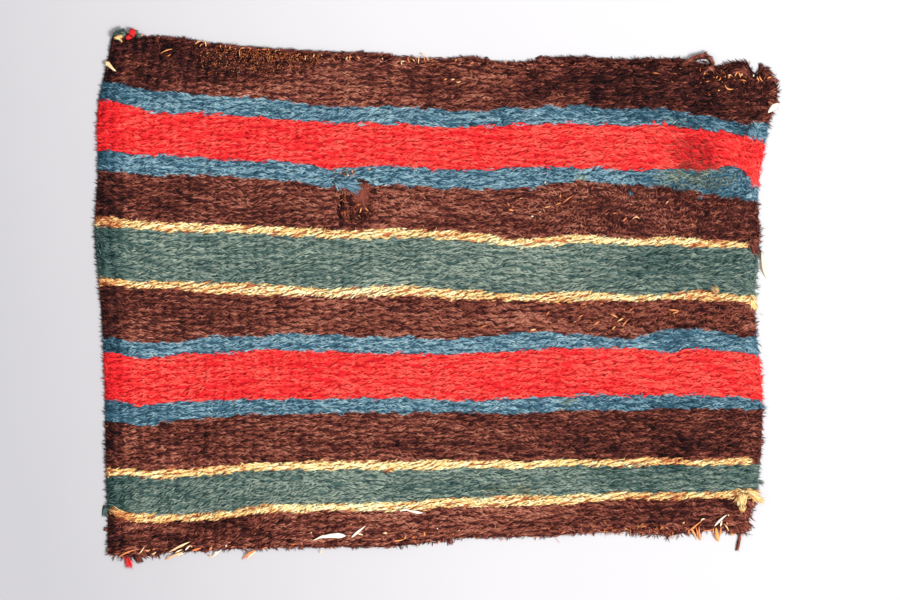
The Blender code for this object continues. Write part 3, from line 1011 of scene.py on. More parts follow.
@dataclass(frozen=True)
class Pile:
    """The cut pile: every stripe's fibres in two layers, with the hairs of its edges.

    Lengths are in metres, and turns in degrees, but reaches and lifts are in millimetres. A reach
    is about how far hairs stand out, by X on the upper and lower edges. A pitch is a step between
    roots. row_chance and column_chance are how far a tuft's middle lies off its cell's, in tufts,
    and farthest is the most that a fibre counts as off it. Where patches turn the nap, tufts gather
    less, by the share of loose_turn and at most by loosest. side_turn is how far a fibre one tuft
    aside turns in. swing is how far the nap sways over swing_size. crown, rise and jolt lift a fibre
    in a tuft's middle, at its end and by chance. A fibre is lighter by lift_tint for each millimetre
    over middle_lift, and a tuft's crest by crest_share of the nap's depth, which paints shade on low
    fibres and on tufts' sides. The ribs' tint, painted light on the ribs and painted shade between
    them, fades out to the right over rib_fade.
    """

    naps: tuple[tuple[Yarn, Nap], ...] = (
        (Yarn.BROWN, Nap(10.5, 1.5, 11, 20, depth=0.17, shade=0.15, waves=0.12)),
        (Yarn.BLUE, Nap(10.5, 1.45, 10, 18)),
        (Yarn.RED, Nap(12.0, 1.65, 8, 20, tuft_length=12, depth=0.1, tint=0.72)),
        (Yarn.YELLOW, Nap(
            11.0, 1.9, 8, 16, turn=13, tuft_length=14, tuft_width=5.0, lean=10, gather=0.3,
            depth=0.16, shade=0.1, tips=0.22, stray=0.9, edge_shade=0.22, tint=0.74,
        )),
        (Yarn.GREEN, Nap(12.0, 1.5, 9, 15, shade=0.13)),
    )
    patches: tuple[NapPatch, ...] = (
        # Painted shade: the cloth's left end, and more faintly its left part, are darker, where less light
        # falls.
        NapPatch(-454, 0, 54, 700, turn=-14, spread=3, shade=-0.36),
        NapPatch(-300, 0, 260, 900, shade=-0.06),
        NapPatch(335, 191, 120, 40, turn=-24, length=0.25, spread=3),
        NapPatch(415, 175, 36, 60, turn=-24), NapPatch(337, 188, 42, 38, shade=-0.2, stain=0.5),
        NapPatch(340, 154, 74, 24, shade=-0.04, stain=0.85),
        NapPatch(385, 148, 60, 26, spread=24, shade=-0.04),
        NapPatch(190, 156, 10, 12, shade=0.15, stain=0.7), NapPatch(171, -140, 14, 12, stain=0.7),
        NapPatch(96, -261, 50, 16, stain=0.4), NapPatch(-418, -292, 24, 14, stain=0.7),
        NapPatch(255, 112, 210, 55, spread=30, length=-0.15), NapPatch(-340, 125, 150, 42, shade=-0.06),
        NapPatch(330, 112, 170, 45, shade=-0.12), NapPatch(280, -30, 170, 34, spread=14),
        NapPatch(-330, 314, 200, 56, spread=12, length=-0.2, shade=-0.3),
        NapPatch(-235, 272, 90, 20, shade=0.14), NapPatch(-110, 280, 80, 34, shade=0.07),
        NapPatch(3, 280, 44, 36, shade=-0.13), NapPatch(132, 280, 38, 36, shade=-0.12),
        NapPatch(-290, -285, 230, 62, turn=24), NapPatch(-228, 314, 100, 22, length=-0.3, shade=-0.12),
        NapPatch(428, 0, 40, 700, turn=-10, spread=10), NapPatch(410, 290, 60, 50, spread=20),
        NapPatch(380, 284, 270, 80, shade=-0.2), NapPatch(300, 284, 340, 84, shade=-0.18),
        NapPatch(350, 232, 70, 22, shade=-0.08), NapPatch(190, 275, 44, 40, shade=-0.09),
        NapPatch(310, 226, 26, 12, stain=0.5), NapPatch(395, 188, 60, 50, shade=-0.16),
        NapPatch(80, 42, 140, 36, shade=0.07), NapPatch(340, 35, 180, 50, shade=-0.2),
        NapPatch(-160, 4, 160, 14, shade=0.16), NapPatch(-340, -32, 130, 30, shade=-0.05),
        NapPatch(330, -28, 180, 30, shade=-0.12), NapPatch(-150, -66, 150, 16, shade=0.08),
        NapPatch(330, -62, 170, 18, shade=-0.1), NapPatch(330, -142, 170, 16, shade=-0.14),
        NapPatch(-340, -195, 130, 42, shade=-0.08), NapPatch(60, -185, 200, 50, shade=-0.14),
        NapPatch(330, -185, 200, 60, shade=-0.26), NapPatch(-140, -258, 150, 32, shade=0.07),
        NapPatch(340, -242, 190, 34, shade=-0.16), NapPatch(-60, -284, 330, 14, shade=0.12),
        NapPatch(-425, -262, 42, 40, shade=-0.22), NapPatch(330, -292, 190, 44, shade=-0.17),
        NapPatch(-330, -310, 160, 50, shade=-0.15), NapPatch(-100, 135, 15, 24, bare=1.0),
        NapPatch(-108, 112, 36, 32, turn=-14, spread=34, shade=-0.2),
        NapPatch(-128, 135, 16, 22, turn=-16, spread=16, shade=-0.1),
        # Painted shade: a narrow line of dark fibres for the shadow in a slit of the cloth.
        NapPatch(-129, 115, 5, 19, turn=-76, shade=-0.6),
        NapPatch(-60, 118, 60, 26, spread=10, shade=0.1),
    )
    upper_reach: Places = ((-440, 2.5), (-130, 1.8), (0, 2.2), (290, 2.8), (450, 4.0))
    lower_reach: Places = ((-440, 4.5), (-250, 3.0), (0, 2.6), (250, 3.4), (420, 6.0))
    side_reach: tuple[float, float] = (1.4, 4.6)
    row_pitch: float = 2.0 * MM
    root_pitch: float = 3.0 * MM
    top_row_pitch: float = 3.6 * MM
    top_root_pitch: float = 4.6 * MM
    low_lift: tuple[float, float] = (0.1, 1.6)
    top_lift: tuple[float, float] = (1.0, 2.8)
    row_chance: float = 0.45
    column_chance: float = 0.5
    farthest: float = 0.6
    loose_turn: float = 25.0
    loosest: float = 0.8
    side_turn: float = 16.0
    swing: float = 12.0
    swing_size: tuple[float, float] = (26.0 * MM, 15.0 * MM)
    crown: float = 0.7
    rise: float = 0.4
    jolt: float = 0.4
    lowest_lift: float = 0.1
    middle_lift: float = 1.4
    lift_tint: float = 0.08
    crest_share: float = 0.3
    wide_wave: tuple[float, float] = (44.0 * MM, 18.0 * MM)
    wave: tuple[float, float] = (15.0 * MM, 8.0 * MM)
    small_wave: tuple[float, float] = (9.0 * MM, 4.0 * MM)
    small_wave_tint: float = 0.1
    rib_tint: float = 0.07
    rib_fade: float = 0.6
    chance_tint: float = 0.07
    root_depth: float = 0.7
    rim_pitch: float = 1.1 * MM
    rim_lean: float = 62.0
    side_inset: float = 0.004
    edge_inset: float = 0.03
    rim_scatter: float = 0.8 * MM
    rim_swing_size: float = 18.0 * MM
    seed: int = 7
    tufts: Unevenness = Unevenness(51)
    leans: Unevenness = Unevenness(53)
    shades: Unevenness = Unevenness(57)

    def nap(self, number: int) -> Nap:
        """The nap of a stripe, by its yarn."""
        return dict(self.naps)[PLAN.stripes[number].yarn]

    def scattered(
        self, number: int, root_pitch: float, row_pitch: float, chance: np.random.Generator
    ) -> tuple[Array, Array]:
        """Roots in a stripe on a jittered grid.

        Args:
            number: the stripe, counted from the upper edge.
            root_pitch: step along the stripe.
            row_pitch: step across it.
            chance: the random numbers to draw from.

        Returns:
            X and Y of the roots.
        """
        rows = max(2, round(PLAN.height(number) / row_pitch))
        columns = round(PLAN.stripe_length / root_pitch)
        row, column = np.mgrid[0:rows, 0:columns].reshape(2, -1).astype(float)
        share_x = (column + chance.random(row.size)) / columns
        share_y = (row + chance.random(row.size)) / rows
        return PLAN.places(number, share_x, share_y)

    def gathered(self, x: Array, y: Array, nap: Nap, gather: Array) -> tuple[Array, ...]:
        """Draws places to the middles of their tufts, across the nap.

        Along the nap and across it, lengths are counted in tufts. Each cell of that lattice has a
        tuft's middle at a chance place in it, half a row higher in every second column, and a place
        belongs to the nearest middle of the nine around it.

        Args:
            x: places of the fibres' middles.
            y: the same, along Y.
            nap: the nap that they lie in.
            gather: the share of the way to the middle that each place goes.

        Returns:
            The new X and Y, how far aside of its tuft's middle and how far onward of it a place is,
            in tufts, and the tuft's row and column.
        """
        cosine, sine = math.cos(math.radians(nap.turn)), math.sin(math.radians(nap.turn))
        along, across = x * cosine + y * sine, y * cosine - x * sine
        columns, rows = along / (nap.tuft_length * MM), across / (nap.tuft_width * MM)
        least = np.full(x.size, np.inf)
        aside, onward = np.zeros(x.size), np.zeros(x.size)
        row, column = np.zeros(x.size, int), np.zeros(x.size, int)
        for step in range(9):
            near_row = np.floor(rows).astype(int) + step // 3 - 1
            near_column = np.floor(columns).astype(int) + step % 3 - 1
            middle_row = near_row + 0.25 + 0.5 * (near_column % 2)
            row_chance = self.row_chance * self.leans.cell(near_row, near_column)
            column_chance = self.column_chance * self.tufts.cell(near_row, near_column)
            off_row = rows - middle_row - row_chance
            off_column = columns - near_column - 0.5 - column_chance
            away = off_row**2 + off_column**2
            closer = away < least
            least = np.where(closer, away, least)
            aside, onward = np.where(closer, off_row, aside), np.where(closer, off_column, onward)
            row, column = np.where(closer, near_row, row), np.where(closer, near_column, column)
        # A row further on in a lattice gives the tuft a number of its own for each use.
        stray = nap.stray * self.shades.cell(row + 31, column)
        across = across + (stray - gather * aside * nap.tuft_width) * MM
        x, y = along * cosine - across * sine, along * sine + across * cosine
        aside, onward = (off.clip(-self.farthest, self.farthest) for off in (aside, onward))
        return x, y, aside, onward, row, column

    def laid(
        self, x: Array, y: Array, number: int, lift: tuple[float, float], chance: np.random.Generator
    ) -> Fibres:
        """Fibres laid along the weft from their middles, turned, shaded and worn by the patches.

        Args:
            x: places of the fibres' middles.
            y: the same, along Y.
            number: the stripe that they are of.
            lift: least and most height of a fibre's middle over the ground, in millimetres.
            chance: the random numbers to draw from.

        Returns:
            The fibres that aren't worn away.
        """
        nap = self.nap(number)
        count = x.size
        turn = np.full(count, float(nap.turn))
        spread = np.full(count, float(nap.spread))
        grow, shade, stain, bare = np.ones(count), np.zeros(count), np.zeros(count), np.zeros(count)
        for patch in self.patches:
            weight = patch.weight(x, y)
            turn += patch.turn * weight
            spread += patch.spread * weight
            grow += patch.length * weight
            shade += patch.shade * weight
            stain += patch.stain * weight
            bare += patch.bare * weight
        loose = np.clip(np.abs(turn - nap.turn) / self.loose_turn, 0, self.loosest)
        gather = nap.gather * (1 - loose)
        x, y, aside, onward, row, column = self.gathered(x, y, nap, gather)
        turn += nap.lean * self.leans.cell(row + 17, column) - self.side_turn * aside
        turn += (self.swing + 0.5 * spread) * self.leans.at(x, y, *self.swing_size)
        turn += spread * chance.standard_normal(count)
        length = nap.length * MM * grow * chance.uniform(0.65, 1.35, count)
        side = 4 * aside**2
        lifted = chance.uniform(*lift, count) + self.crown * (1 - side) + self.rise * onward
        lifted = np.maximum(lifted + self.jolt * self.tufts.cell(row + 5, column), self.lowest_lift)
        # Painted shade: a fibre that lies lower is darker, and a higher one lighter.
        tint = nap.tint + shade + self.lift_tint * (lifted - self.middle_lift)
        # Painted shade on a tuft's sides, between tufts, and painted light on its crest.
        tint += nap.depth * (self.crest_share - side)
        # Painted shade at a tuft's start, where it lies under the tuft before; its end is lighter.
        tint += nap.tips * onward
        tint += nap.shade * self.shades.cell(row, column) + nap.waves * self.waves(x, y)
        tint += self.small_wave_tint * self.shades.at(x + 0.6 * y, y, *self.small_wave)
        # Painted light on the ribs and painted shade between them, fading out to the right.
        tint += self.rib_tint * PLAN.rib_wave(x, y) * smoothstep(0.5 - x / self.rib_fade)
        tint += self.chance_tint * chance.standard_normal(count)
        if nap.edge_shade:
            upper, lower = PLAN.line(number, x), PLAN.line(number + 1, x)
            tint -= nap.edge_shade * np.abs(2 * (y - lower) / (upper - lower) - 1) ** 3
        radians = np.radians(turn)
        curl = np.radians(nap.curl + spread * 0.8) * chance.standard_normal(count)
        heading = radians + curl / 2
        fibres = Fibres(
            x=x - np.cos(heading) * length / 2,
            y=y - np.sin(heading) * length / 2,
            turn=radians,
            length=length,
            width=nap.width * MM * chance.uniform(0.7, 1.3, count),
            curl=curl,
            start=np.full(count, -self.root_depth * MM),
            middle=lifted * MM,
            end=lifted * MM * chance.uniform(0.2, 1.0, count),
            tint=tint,
            stain=(chance.random(count) < stain) * chance.uniform(0.5, 1.0, count),
        )
        uncovered = x < PLAN.stripes[number].until * MM
        return fibres.kept((chance.random(count) >= bare) & uncovered)

    def waves(self, x: Array, y: Array) -> Array:
        """Soft lighter and darker places of two sizes, as the nap lies one way or the other."""
        return self.tufts.at(x, y, *self.wide_wave) + 0.9 * self.leans.at(x, y + 0.3 * x, *self.wave)

    def rim(self, number: int, chance: np.random.Generator) -> Fibres:
        """Hairs that stand out of the cloth's edges where this stripe meets them.

        Args:
            number: the stripe, counted from the upper edge.
            chance: the random numbers to draw from.

        Returns:
            The hairs, from just inside the outline outwards.
        """
        runs: list[tuple[Array, Array, float, Array]] = []
        side = np.linspace(0.02, 0.98, max(3, round(PLAN.height(number) / self.rim_pitch)))
        insets = (self.side_inset, 1 - self.side_inset)
        for share, facing, reach in zip(insets, (180.0, 0.0), self.side_reach):
            x, y = PLAN.places(number, np.full_like(side, share), side)
            runs.append((x, y, facing, np.full_like(side, reach)))
        along = np.linspace(0.003, 0.997, round(PLAN.stripe_length / self.rim_pitch))
        last = len(PLAN.stripes) - 1
        edges = (
            (0, self.edge_inset, 90.0, self.upper_reach),
            (last, 1 - self.edge_inset, -90.0, self.lower_reach),
        )
        for edge, share, facing, reaches in edges:
            if number == edge:
                x, y = PLAN.places(number, along, np.full_like(along, share))
                runs.append((x, y, facing, smooth_through(x / MM, *zip(*reaches))))
        x, y, reach = (np.concatenate([run[index] for run in runs]) for index in (0, 1, 3))
        facing = np.concatenate([np.full(run[0].size, run[2]) for run in runs])
        count = x.size
        x = x + chance.normal(0, self.rim_scatter, count)
        y = y + chance.normal(0, self.rim_scatter, count)
        size = self.rim_swing_size
        swing = np.tanh(5 * self.leans.at(x + y, y - x, size, size))
        lean = self.rim_lean * swing + chance.normal(0, 13, count)
        nap = self.nap(number)
        hairs = Fibres(
            x=x,
            y=y,
            turn=np.radians(facing + lean),
            length=2 * reach * MM * chance.uniform(0.5, 1.4, count),
            width=nap.width * MM * chance.uniform(0.5, 1.0, count),
            curl=np.radians(chance.normal(0, 22, count)),
            start=np.full(count, 0.4 * MM),
            middle=chance.uniform(1.0, 3.2, count) * MM,
            end=chance.uniform(0.2, 2.2, count) * MM,
            # Painted shade: hairs on the left edge are darker, on the side away from the light.
            tint=nap.tint - 0.2 + 0.12 * chance.standard_normal(count) - 0.15 * (facing == 180),
            stain=np.zeros(count),
        )
        return hairs.kept(x < PLAN.stripes[number].until * MM)

    def build(self) -> list[bpy.types.Object]:
        """Makes each stripe's pile as one piece.

        Returns:
            The pieces, from the upper edge down.
        """
        pieces = []
        for number, stripe in enumerate(PLAN.stripes):
            chance = np.random.default_rng((self.seed, number))
            x, y = self.scattered(number, self.root_pitch, self.row_pitch, chance)
            low = self.laid(x, y, number, self.low_lift, chance)
            x, y = self.scattered(number, self.top_root_pitch, self.top_row_pitch, chance)
            high = self.laid(x, y, number, self.top_lift, chance)
            parts = [low.surface(3), high.surface(3), self.rim(number, chance).surface(4)]
            name = f"pile_{number + 1:02d}_{stripe.yarn.value}"
            material = YARNS[stripe.yarn].material()
            pieces.append(Surface.joined(parts).piece(name, [material], Slot.CLOTH))
        return pieces


@dataclass(frozen=True)
class SpeckPatch:
    """An oval place where short ends of plant fibre show between the tufts, in millimetres.

    length is the ends' middle length, and tone their middle tint.
    """

    x: float
    y: float
    half_x: float
    half_y: float
    count: int
    length: float = 1.8
    tone: float = 0.29


@dataclass(frozen=True)
class StiffFibres:
    """Stiff splinters and hooks of plant fibre and quill, that stick out of the cloth or lie on it.

    A row gives X and Y of the start and of the end, the width, how far the middle lies to the left
    of the straight line, the tone from 0, orange, to 1, cream, and the share of the length at which
    the splinter is widest, if that isn't halfway. Its section is a ring with three low ridges.
    """

    upper_hooks: Rows = (
        (-305.8, 327.4, -309.5, 337.3, 1.9, -1.3, 0.62), (-320.4, 330.3, -310.9, 335.3, 1.6, 1.6, 0.55),
        (-314.2, 327.4, -310.2, 331.6, 1.5, 0.5, 0.4), (-286.2, 326, -286.3, 331.3, 1.5, 0.3, 0.45),
        (-280, 326.6, -280.8, 330.9, 1.5, -0.4, 0.35), (-273.9, 324.1, -273.5, 329.1, 1.5, 0.3, 0.5),
        (-266.6, 323.9, -267.3, 326.6, 1.4, 0, 0.3), (-260.4, 314.2, -260.7, 325.2, 1.6, 0.8, 0.4),
        (-260.7, 324.7, -254.1, 325.5, 1.5, 1.2, 0.45), (-251.5, 327.6, -245.5, 323.7, 1.5, 0.5, 0.3),
        (-236.4, 323.1, -236.3, 325.5, 1.4, 0, 0.35), (-232.3, 323.8, -225.1, 324.5, 1.5, 0.4, 0.35),
        (-222.9, 322.6, -223.2, 326, 1.4, 0, 0.4), (-214.5, 320.8, -212.1, 323.4, 1.4, 0.4, 0.45),
        (-208.6, 322.9, -208.7, 324.9, 1.1, 0, 0.45), (-186.8, 314.7, -182.8, 318.6, 1.5, 0, 0.25),
        (-176.2, 314.2, -172.3, 315.5, 1.5, 0.7, 0.3), (-174.6, 309.7, -173.6, 315.5, 1.4, 0.4, 0.6),
        (-164.9, 313.5, -163, 319.2, 1.5, -0.7, 0.6), (-153, 315.5, -152.7, 317.9, 1.4, 0, 0.6),
        (-121.3, 310.2, -118.9, 315.5, 1.5, -0.3, 0.75, 0.4),
        (-115.8, 310.2, -115, 318.1, 1.6, 0.4, 0.4, 0.4), (-117.3, 315, -112.9, 313.4, 1.5, 0.3, 0.35),
        (-107.1, 315.5, -102.8, 311.1, 1.6, 0.5, 0.55), (-72.6, 310.7, -72.7, 313.4, 1.5, 0, 0.7),
        (-75.5, 308.1, -74.1, 308.6, 1.6, 0, 0.9), (-49.5, 308.9, -43.4, 308.4, 1.6, 0, 0.7),
        (-47.4, 308.2, -47.4, 303.6, 1.6, 0, 0.75), (-39.2, 314.2, -35.5, 306.2, 1.6, -1.2, 0.35),
        (-39.5, 308.9, -37.1, 313.6, 1.5, 0.7, 0.3), (-34.6, 312.2, -29.7, 308, 1.6, 0.4, 0.6),
        (-24.4, 316, -24.8, 304.7, 1.6, -0.4, 0.66), (-22.3, 316.5, -17.3, 317.6, 1.6, 0.5, 0.6),
        (-17.6, 317.3, -14.9, 306.9, 1.5, -1.2, 0.35), (-15.2, 314.2, -10.7, 309.7, 1.5, -0.5, 0.6),
        (8, 283.4, 13, 285.6, 2, 0.3, 0.4), (17, 284.6, 23, 284.6, 2, 0.2, 0.66),
        (24, 282.2, 31, 282.8, 2, -1.6, 0.6), (23.1, 307.6, 25.7, 312.2, 1.4, 0, 0.4),
        (42.9, 304.9, 48.2, 306.8, 1.4, 0.7, 0.35), (89.1, 304.9, 91.7, 308.9, 1.4, 0, 0.35),
        (161.7, 302.3, 167, 303.6, 1.4, 0.5, 0.3), (283.1, 293, 292.4, 292.2, 1.5, 0.5, 0.3),
        (350.7, 290.4, 353.6, 295.7, 1.6, -0.7, 0.45), (368.9, 285.1, 370.8, 289.3, 1.6, 1.3, 0.4),
        (373.7, 287.8, 370.8, 283.5, 1.6, 1.1, 0.4), (363.9, 287.1, 366, 287.5, 1.6, 0, 0.3),
        (378.7, 287.5, 380.8, 289.3, 1.6, 0, 0.3), (382.9, 289.6, 388.2, 290.4, 2.6, 0.4, 0.62, 0.4),
        (384, 285.9, 386.1, 289.6, 1.6, 0.4, 0.5), (392.7, 288.3, 396.9, 295.7, 2, 0.7, 0.5),
        (396.7, 295.2, 400.1, 286.4, 2, 0.8, 0.5), (401.7, 289.1, 402.5, 293, 1.9, 0.4, 0.7),
        (399.3, 284.1, 408, 281.7, 1.9, 0.7, 0.35), (417.3, 288, 417, 291.7, 2, 0, 0.95),
        (421.5, 289.3, 424.9, 282.5, 2.1, -0.5, 0.5, 0.4), (424.9, 289.3, 429.4, 282, 2.1, -0.7, 0.45, 0.4),
        (435.5, 285.6, 441.5, 287.8, 2.2, 0.7, 0.4, 0.4), (379, 279, 391.4, 272.4, 2, -4, 0.5),
        (354.4, 281.2, 358.1, 282.5, 1.6, 0, 0.4), (369.7, 270.1, 372.6, 270.3, 2.0, 0, 0.55),
        (-393.4, 341.2, -386.8, 343.2, 1.6, 0.7, 0.4), (-366.3, 318.1, -349.1, 324.7, 1.6, 1.6, 0.45),
        (-358.4, 315.5, -351.8, 318.8, 1.4, -1.1, 0.3),
    )
    cloth_hooks: Rows = (
        (-102.8, 108.2, -101, 116.2, 1.9, -0.5, 0.5), (-97, 115.5, -90.9, 110.2, 1.6, 0.5, 0.4),
        (-106.3, 117.5, -102.3, 120.1, 1.5, 0.4, 0.35), (-112.9, 165, -112.1, 161, 1.9, 0, 0.6),
        (-91.7, 165, -87.8, 167, 1.6, 0.3, 0.5), (-119.5, 157.1, -116.8, 159.2, 2, 0, 0.65),
        (93.1, 112.2, 101, 111.5, 2.6, 0.5, 0.4), (95.7, 117.5, 91.7, 122.8, 1.6, 0.5, 0.35),
        (134, 108.8, 136.6, 110.4, 1.5, 0, 0.6), (139.3, 116.2, 149.8, 118.8, 1.5, -1.6, 0.55),
        (155.1, 117.5, 164.3, 121.4, 1.5, 1.1, 0.4), (164.3, 120.1, 180.2, 132, 1.4, 0.7, 0.35),
        (123.4, 103.5, 126.9, 104.3, 2.2, 0, 0.95), (257, 99.5, 267.3, 100.3, 1.9, 3.2, 0.62),
        (243.5, 97, 250.1, 103, 2, -0.4, 0.35), (301.6, 120.1, 305.6, 124.1, 1.5, 0.7, 0.65),
        (230.3, 106.9, 236.9, 108.2, 1.5, 0.4, 0.3), (333.3, 92.4, 338.6, 93.7, 1.4, 0.5, 0.3),
        (205.3, 121.4, 209.2, 122.8, 1.4, 0.3, 0.35), (141.9, 146.5, 143.2, 150.5, 1.6, 0.4, 0.75),
        (161.7, 128, 163, 133.3, 1.4, 0.3, 0.5), (156.4, -10.6, 164.3, -13.2, 1.5, 0.4, 0.3),
        (170.9, -6.6, 178.9, -11.1, 1.5, -0.4, 0.4), (188.1, -13.2, 197.3, -11.9, 1.6, 0.5, 0.35),
        (211.9, -10.6, 219.8, -12.5, 1.6, 0.5, 0.3), (227.7, -25.1, 238.3, -30.4, 2.1, 0.7, 0.5),
        (236.9, -35.6, 246.2, -30.4, 2.1, 0.5, 0.6), (243.5, -40.9, 250.1, -33, 1.9, -0.5, 0.4),
        (230.3, -46.2, 235.6, -40.9, 2, 0.4, 0.5), (251.5, -22.4, 259.4, -17.2, 1.5, 0.5, 0.3),
        (304.3, -19.8, 318.8, -21.1, 2.2, 0.7, 0.4), (309.5, -24.4, 318.8, -21.1, 1.9, -0.3, 0.45),
        (56.1, -43.6, 66.7, -39.6, 1.6, 0.5, 0.3), (143.2, -27.7, 148.5, -21.1, 1.4, 0.5, 0.4),
        (185.5, -30.4, 192.1, -26.4, 1.6, 0.4, 0.35), (107.6, 126.7, 112.9, 128, 1.4, 0.3, 0.5),
        (122.1, -46.2, 130, -45.4, 2.6, 0, 0.6), (267.3, -9.2, 272.6, -6.6, 1.4, 0, 0.3),
        (206.6, -39.6, 214.5, -34.3, 1.9, 0.4, 0.35),
    )
    lower_hooks: Rows = (
        (-422, -346.4, -393, -335.7, 2.1, 2.1, 0.38, 0.3), (-421.1, -347.8, -407.2, -337.9, 1.5, 0.8, 0.3),
        (-394.5, -342.4, -386.1, -331.1, 1.5, -0.3, 0.75, 0.4),
        (-386.8, -336.1, -379, -335.8, 1.6, -1.8, 0.55),
        (-378.2, -342.7, -371.1, -338.4, 2, -0.7, 0.7, 0.4),
        (-376.9, -337.1, -372.1, -334.8, 1.6, 0.4, 0.35),
        (-359.2, -349.8, -347, -342.7, 2.6, 0.4, 0.5, 0.3),
        (-353.1, -346.6, -334.9, -338.7, 3.1, 0.4, 0.62, 0.7),
        (-347.8, -341.1, -336.7, -335.8, 2, 0.4, 0.85), (-343.9, -344.5, -334.6, -340, 2, 0, 0.9),
        (-333.3, -337.4, -325.9, -330, 2.5, 0.5, 0.9, 0.4), (-327.2, -330.5, -323.8, -333.4, 1.6, 0.5, 0.6),
        (-325.4, -337.9, -311.7, -334.2, 3.2, 0.4, 0.3, 0.4), (-347.8, -337.7, -343.6, -334, 2, 0.4, 0.4),
        (-301.6, -337.7, -297.1, -331.8, 3.2, 0.4, 0.38),
        (-302.1, -342.7, -296.9, -346.4, 2.2, -0.4, 0.6, 0.4),
        (-298.2, -346.6, -284.5, -335.8, 2.5, 0.5, 0.92, 0.4),
        (-295.5, -342.7, -289.7, -337.4, 2, 0.4, 0.85), (-258, -350, -240, -336.5, 4.2, 1.6, 0.32, 0.6),
        (-252, -349.6, -239, -338, 2.2, 1.2, 0.8), (-279.7, -332.6, -278.4, -329.5, 2.5, 0, 0.85),
        (-273.9, -334, -267.3, -331.8, 1.6, 0.4, 0.3), (-106.3, -315.2, -97.8, -317.1, 2.1, 0.4, 0.8),
        (-72.5, -315, -65.9, -315, 2.5, 0.9, 0.75), (-78.5, -320.8, -74.6, -322.9, 1.6, 0, 0.35),
        (-58.7, -324.5, -43.7, -322.3, 2, -0.7, 0.5, 0.4),
        (-44.2, -322.6, -41.8, -317.3, 2, -0.4, 0.5, 0.4), (-34.2, -321.6, -29.2, -318.6, 2, 0.4, 0.35),
        (-17, -318.6, -17.3, -312, 2.6, 0, 0.4, 0.4), (-1.2, -308.9, 0.7, -307.6, 2, 0, 0.9),
        (26.8, -311, 29.7, -310.2, 1.6, 0, 0.6), (-155.1, -341.4, -152.2, -336.6, 2, 0.3, 0.8, 0.4),
        (-167.8, -313.6, -165.7, -313.9, 2, 0, 0.8), (323.3, -302.3, 326.7, -299.4, 2.1, 0.4, 0.6),
        (329.9, -313.4, 349.7, -297.8, 2.5, 0.4, 0.4, 0.4), (347.3, -299.1, 353.9, -295.9, 2.2, 1.8, 0.8),
        (330.7, -308.9, 333, -318.6, 1.6, 0, 0.35), (334.1, -307.6, 342.5, -324.5, 2.8, 1.1, 0.5, 0.3),
        (340.7, -305.4, 343.1, -322.1, 2, 1.1, 0.35), (345.2, -304.9, 347.3, -324.7, 3.4, -0.7, 0.38, 0.7),
        (349.1, -308.9, 365, -307.6, 1.6, -2.9, 0.36), (365, -306.8, 364.2, -316.8, 2, -0.7, 0.4),
        (367.6, -305.7, 370.8, -326, 6.9, -0.4, 0.44, 0.62), (374.7, -304.9, 372.4, -319.4, 2.6, 0, 0.36),
        (373.4, -306.2, 376.1, -297, 2.5, 0.4, 0.9, 0.4),
        (378.2, -302.3, 384.3, -312.6, 2.2, 1.1, 0.62, 0.4), (381.6, -298.3, 382.1, -304.4, 1.6, 0.3, 0.4),
        (384, -312, 395.3, -314.4, 1.9, -2.5, 0.42), (382.7, -289.6, 384.8, -292.2, 2, 0.4, 0.7),
        (-2, -330, 4.6, -323.4, 1.6, 0.4, 0.3), (-231.7, -335.3, -223.7, -332.6, 1.6, 0.4, 0.3),
        (-194.7, -330, -186.8, -328.7, 1.6, 0.4, 0.28), (82.5, -324.7, 87.8, -322.1, 1.6, 0.4, 0.3),
        (161.7, -315.5, 169.6, -312.8, 1.6, 0.4, 0.3), (267.3, -306.2, 276.5, -304.9, 1.6, 0.4, 0.35),
        (293.7, -310.2, 299, -304.9, 1.6, 0.4, 0.35),
    )
    quills: tuple[tuple[str, Rows], ...] = (
        ("quill_sliver_large", (
            (-165.7, -324.7, -149, -316, 2.4, -0.4, 0.86, 0.6),
            (-160, -321.5, -120.6, -318, 7.6, 2.2, 1, 0.78),
        )),
        ("quill_sliver_middle", ((-114.6, -321, -94.6, -304.6, 3.6, 0.5, 0.95, 0.35),)),
        ("quill_sliver_long", (
            (-50.4, -286.2, -38, -283.6, 3.2, 1.4, 0.96, 0.6),
            (-42, -283.6, -18.6, -287.6, 4.0, -0.6, 1, 0.6),
        )),
        ("quill_sliver_lower_left", ((-357, -341, -326, -325.4, 3.0, 0.8, 0.72, 0.6),)),
        ("quill_sliver_lower_right", ((364.6, -306.4, 382.8, -289.4, 3.2, 1.0, 0.95, 0.4),)),
        ("quill_chip_left", (
            (-437, 308.5, -424, 295, 6.2, -0.8, 0.76, 0.1),
            (-438, 310, -434.6, 301, 5.0, 0, 0.7, 0.5),
        )),
        ("quill_chip_right", ((436, 240, 450.6, 253.4, 8.6, 1.0, 0.94, 0.6),)),
    )
    right_quill: Rows = ((427.4, 60, 434.4, 22, 6.4, -1.0, 0.84, 0.66),)
    specks: tuple[SpeckPatch, ...] = (
        SpeckPatch(-236, 314, 84, 19, 560), SpeckPatch(-205, 320, 110, 8, 150),
        SpeckPatch(-240, 300, 74, 18, 110), SpeckPatch(-123, 162, 17, 9, 30, 4.5, 0.3),
        SpeckPatch(-112, 112, 30, 26, 46, 4.5, 0.24), SpeckPatch(262, -311, 70, 6, 56, 9.0, 0.3),
        SpeckPatch(285, -22, 150, 26, 60, 4.5, 0.28), SpeckPatch(235, 108, 150, 40, 50, 4.0, 0.3),
        SpeckPatch(20, -312, 340, 14, 60, 4.5, 0.26), SpeckPatch(0, 305, 420, 9, 50, 3.5, 0.3),
        SpeckPatch(360, 283, 70, 20, 36, 4.0, 0.32),
    )
    stations: int = 9
    sides: int = 6
    halfway: float = 0.5
    flatness: float = 0.5
    thickness: float = 0.9 * MM
    ridge: float = 0.08
    taper_power: float = 0.65
    least_taper: float = 0.12
    lift: float = 4.2
    low_lift: float = 1.0
    dip: float = 0.4
    settling: float = 0.6
    floor_level: float = 4.0 * MM
    floor_gap: float = 0.4 * MM
    speck_margin: float = 1.8 * MM
    seed: int = 19

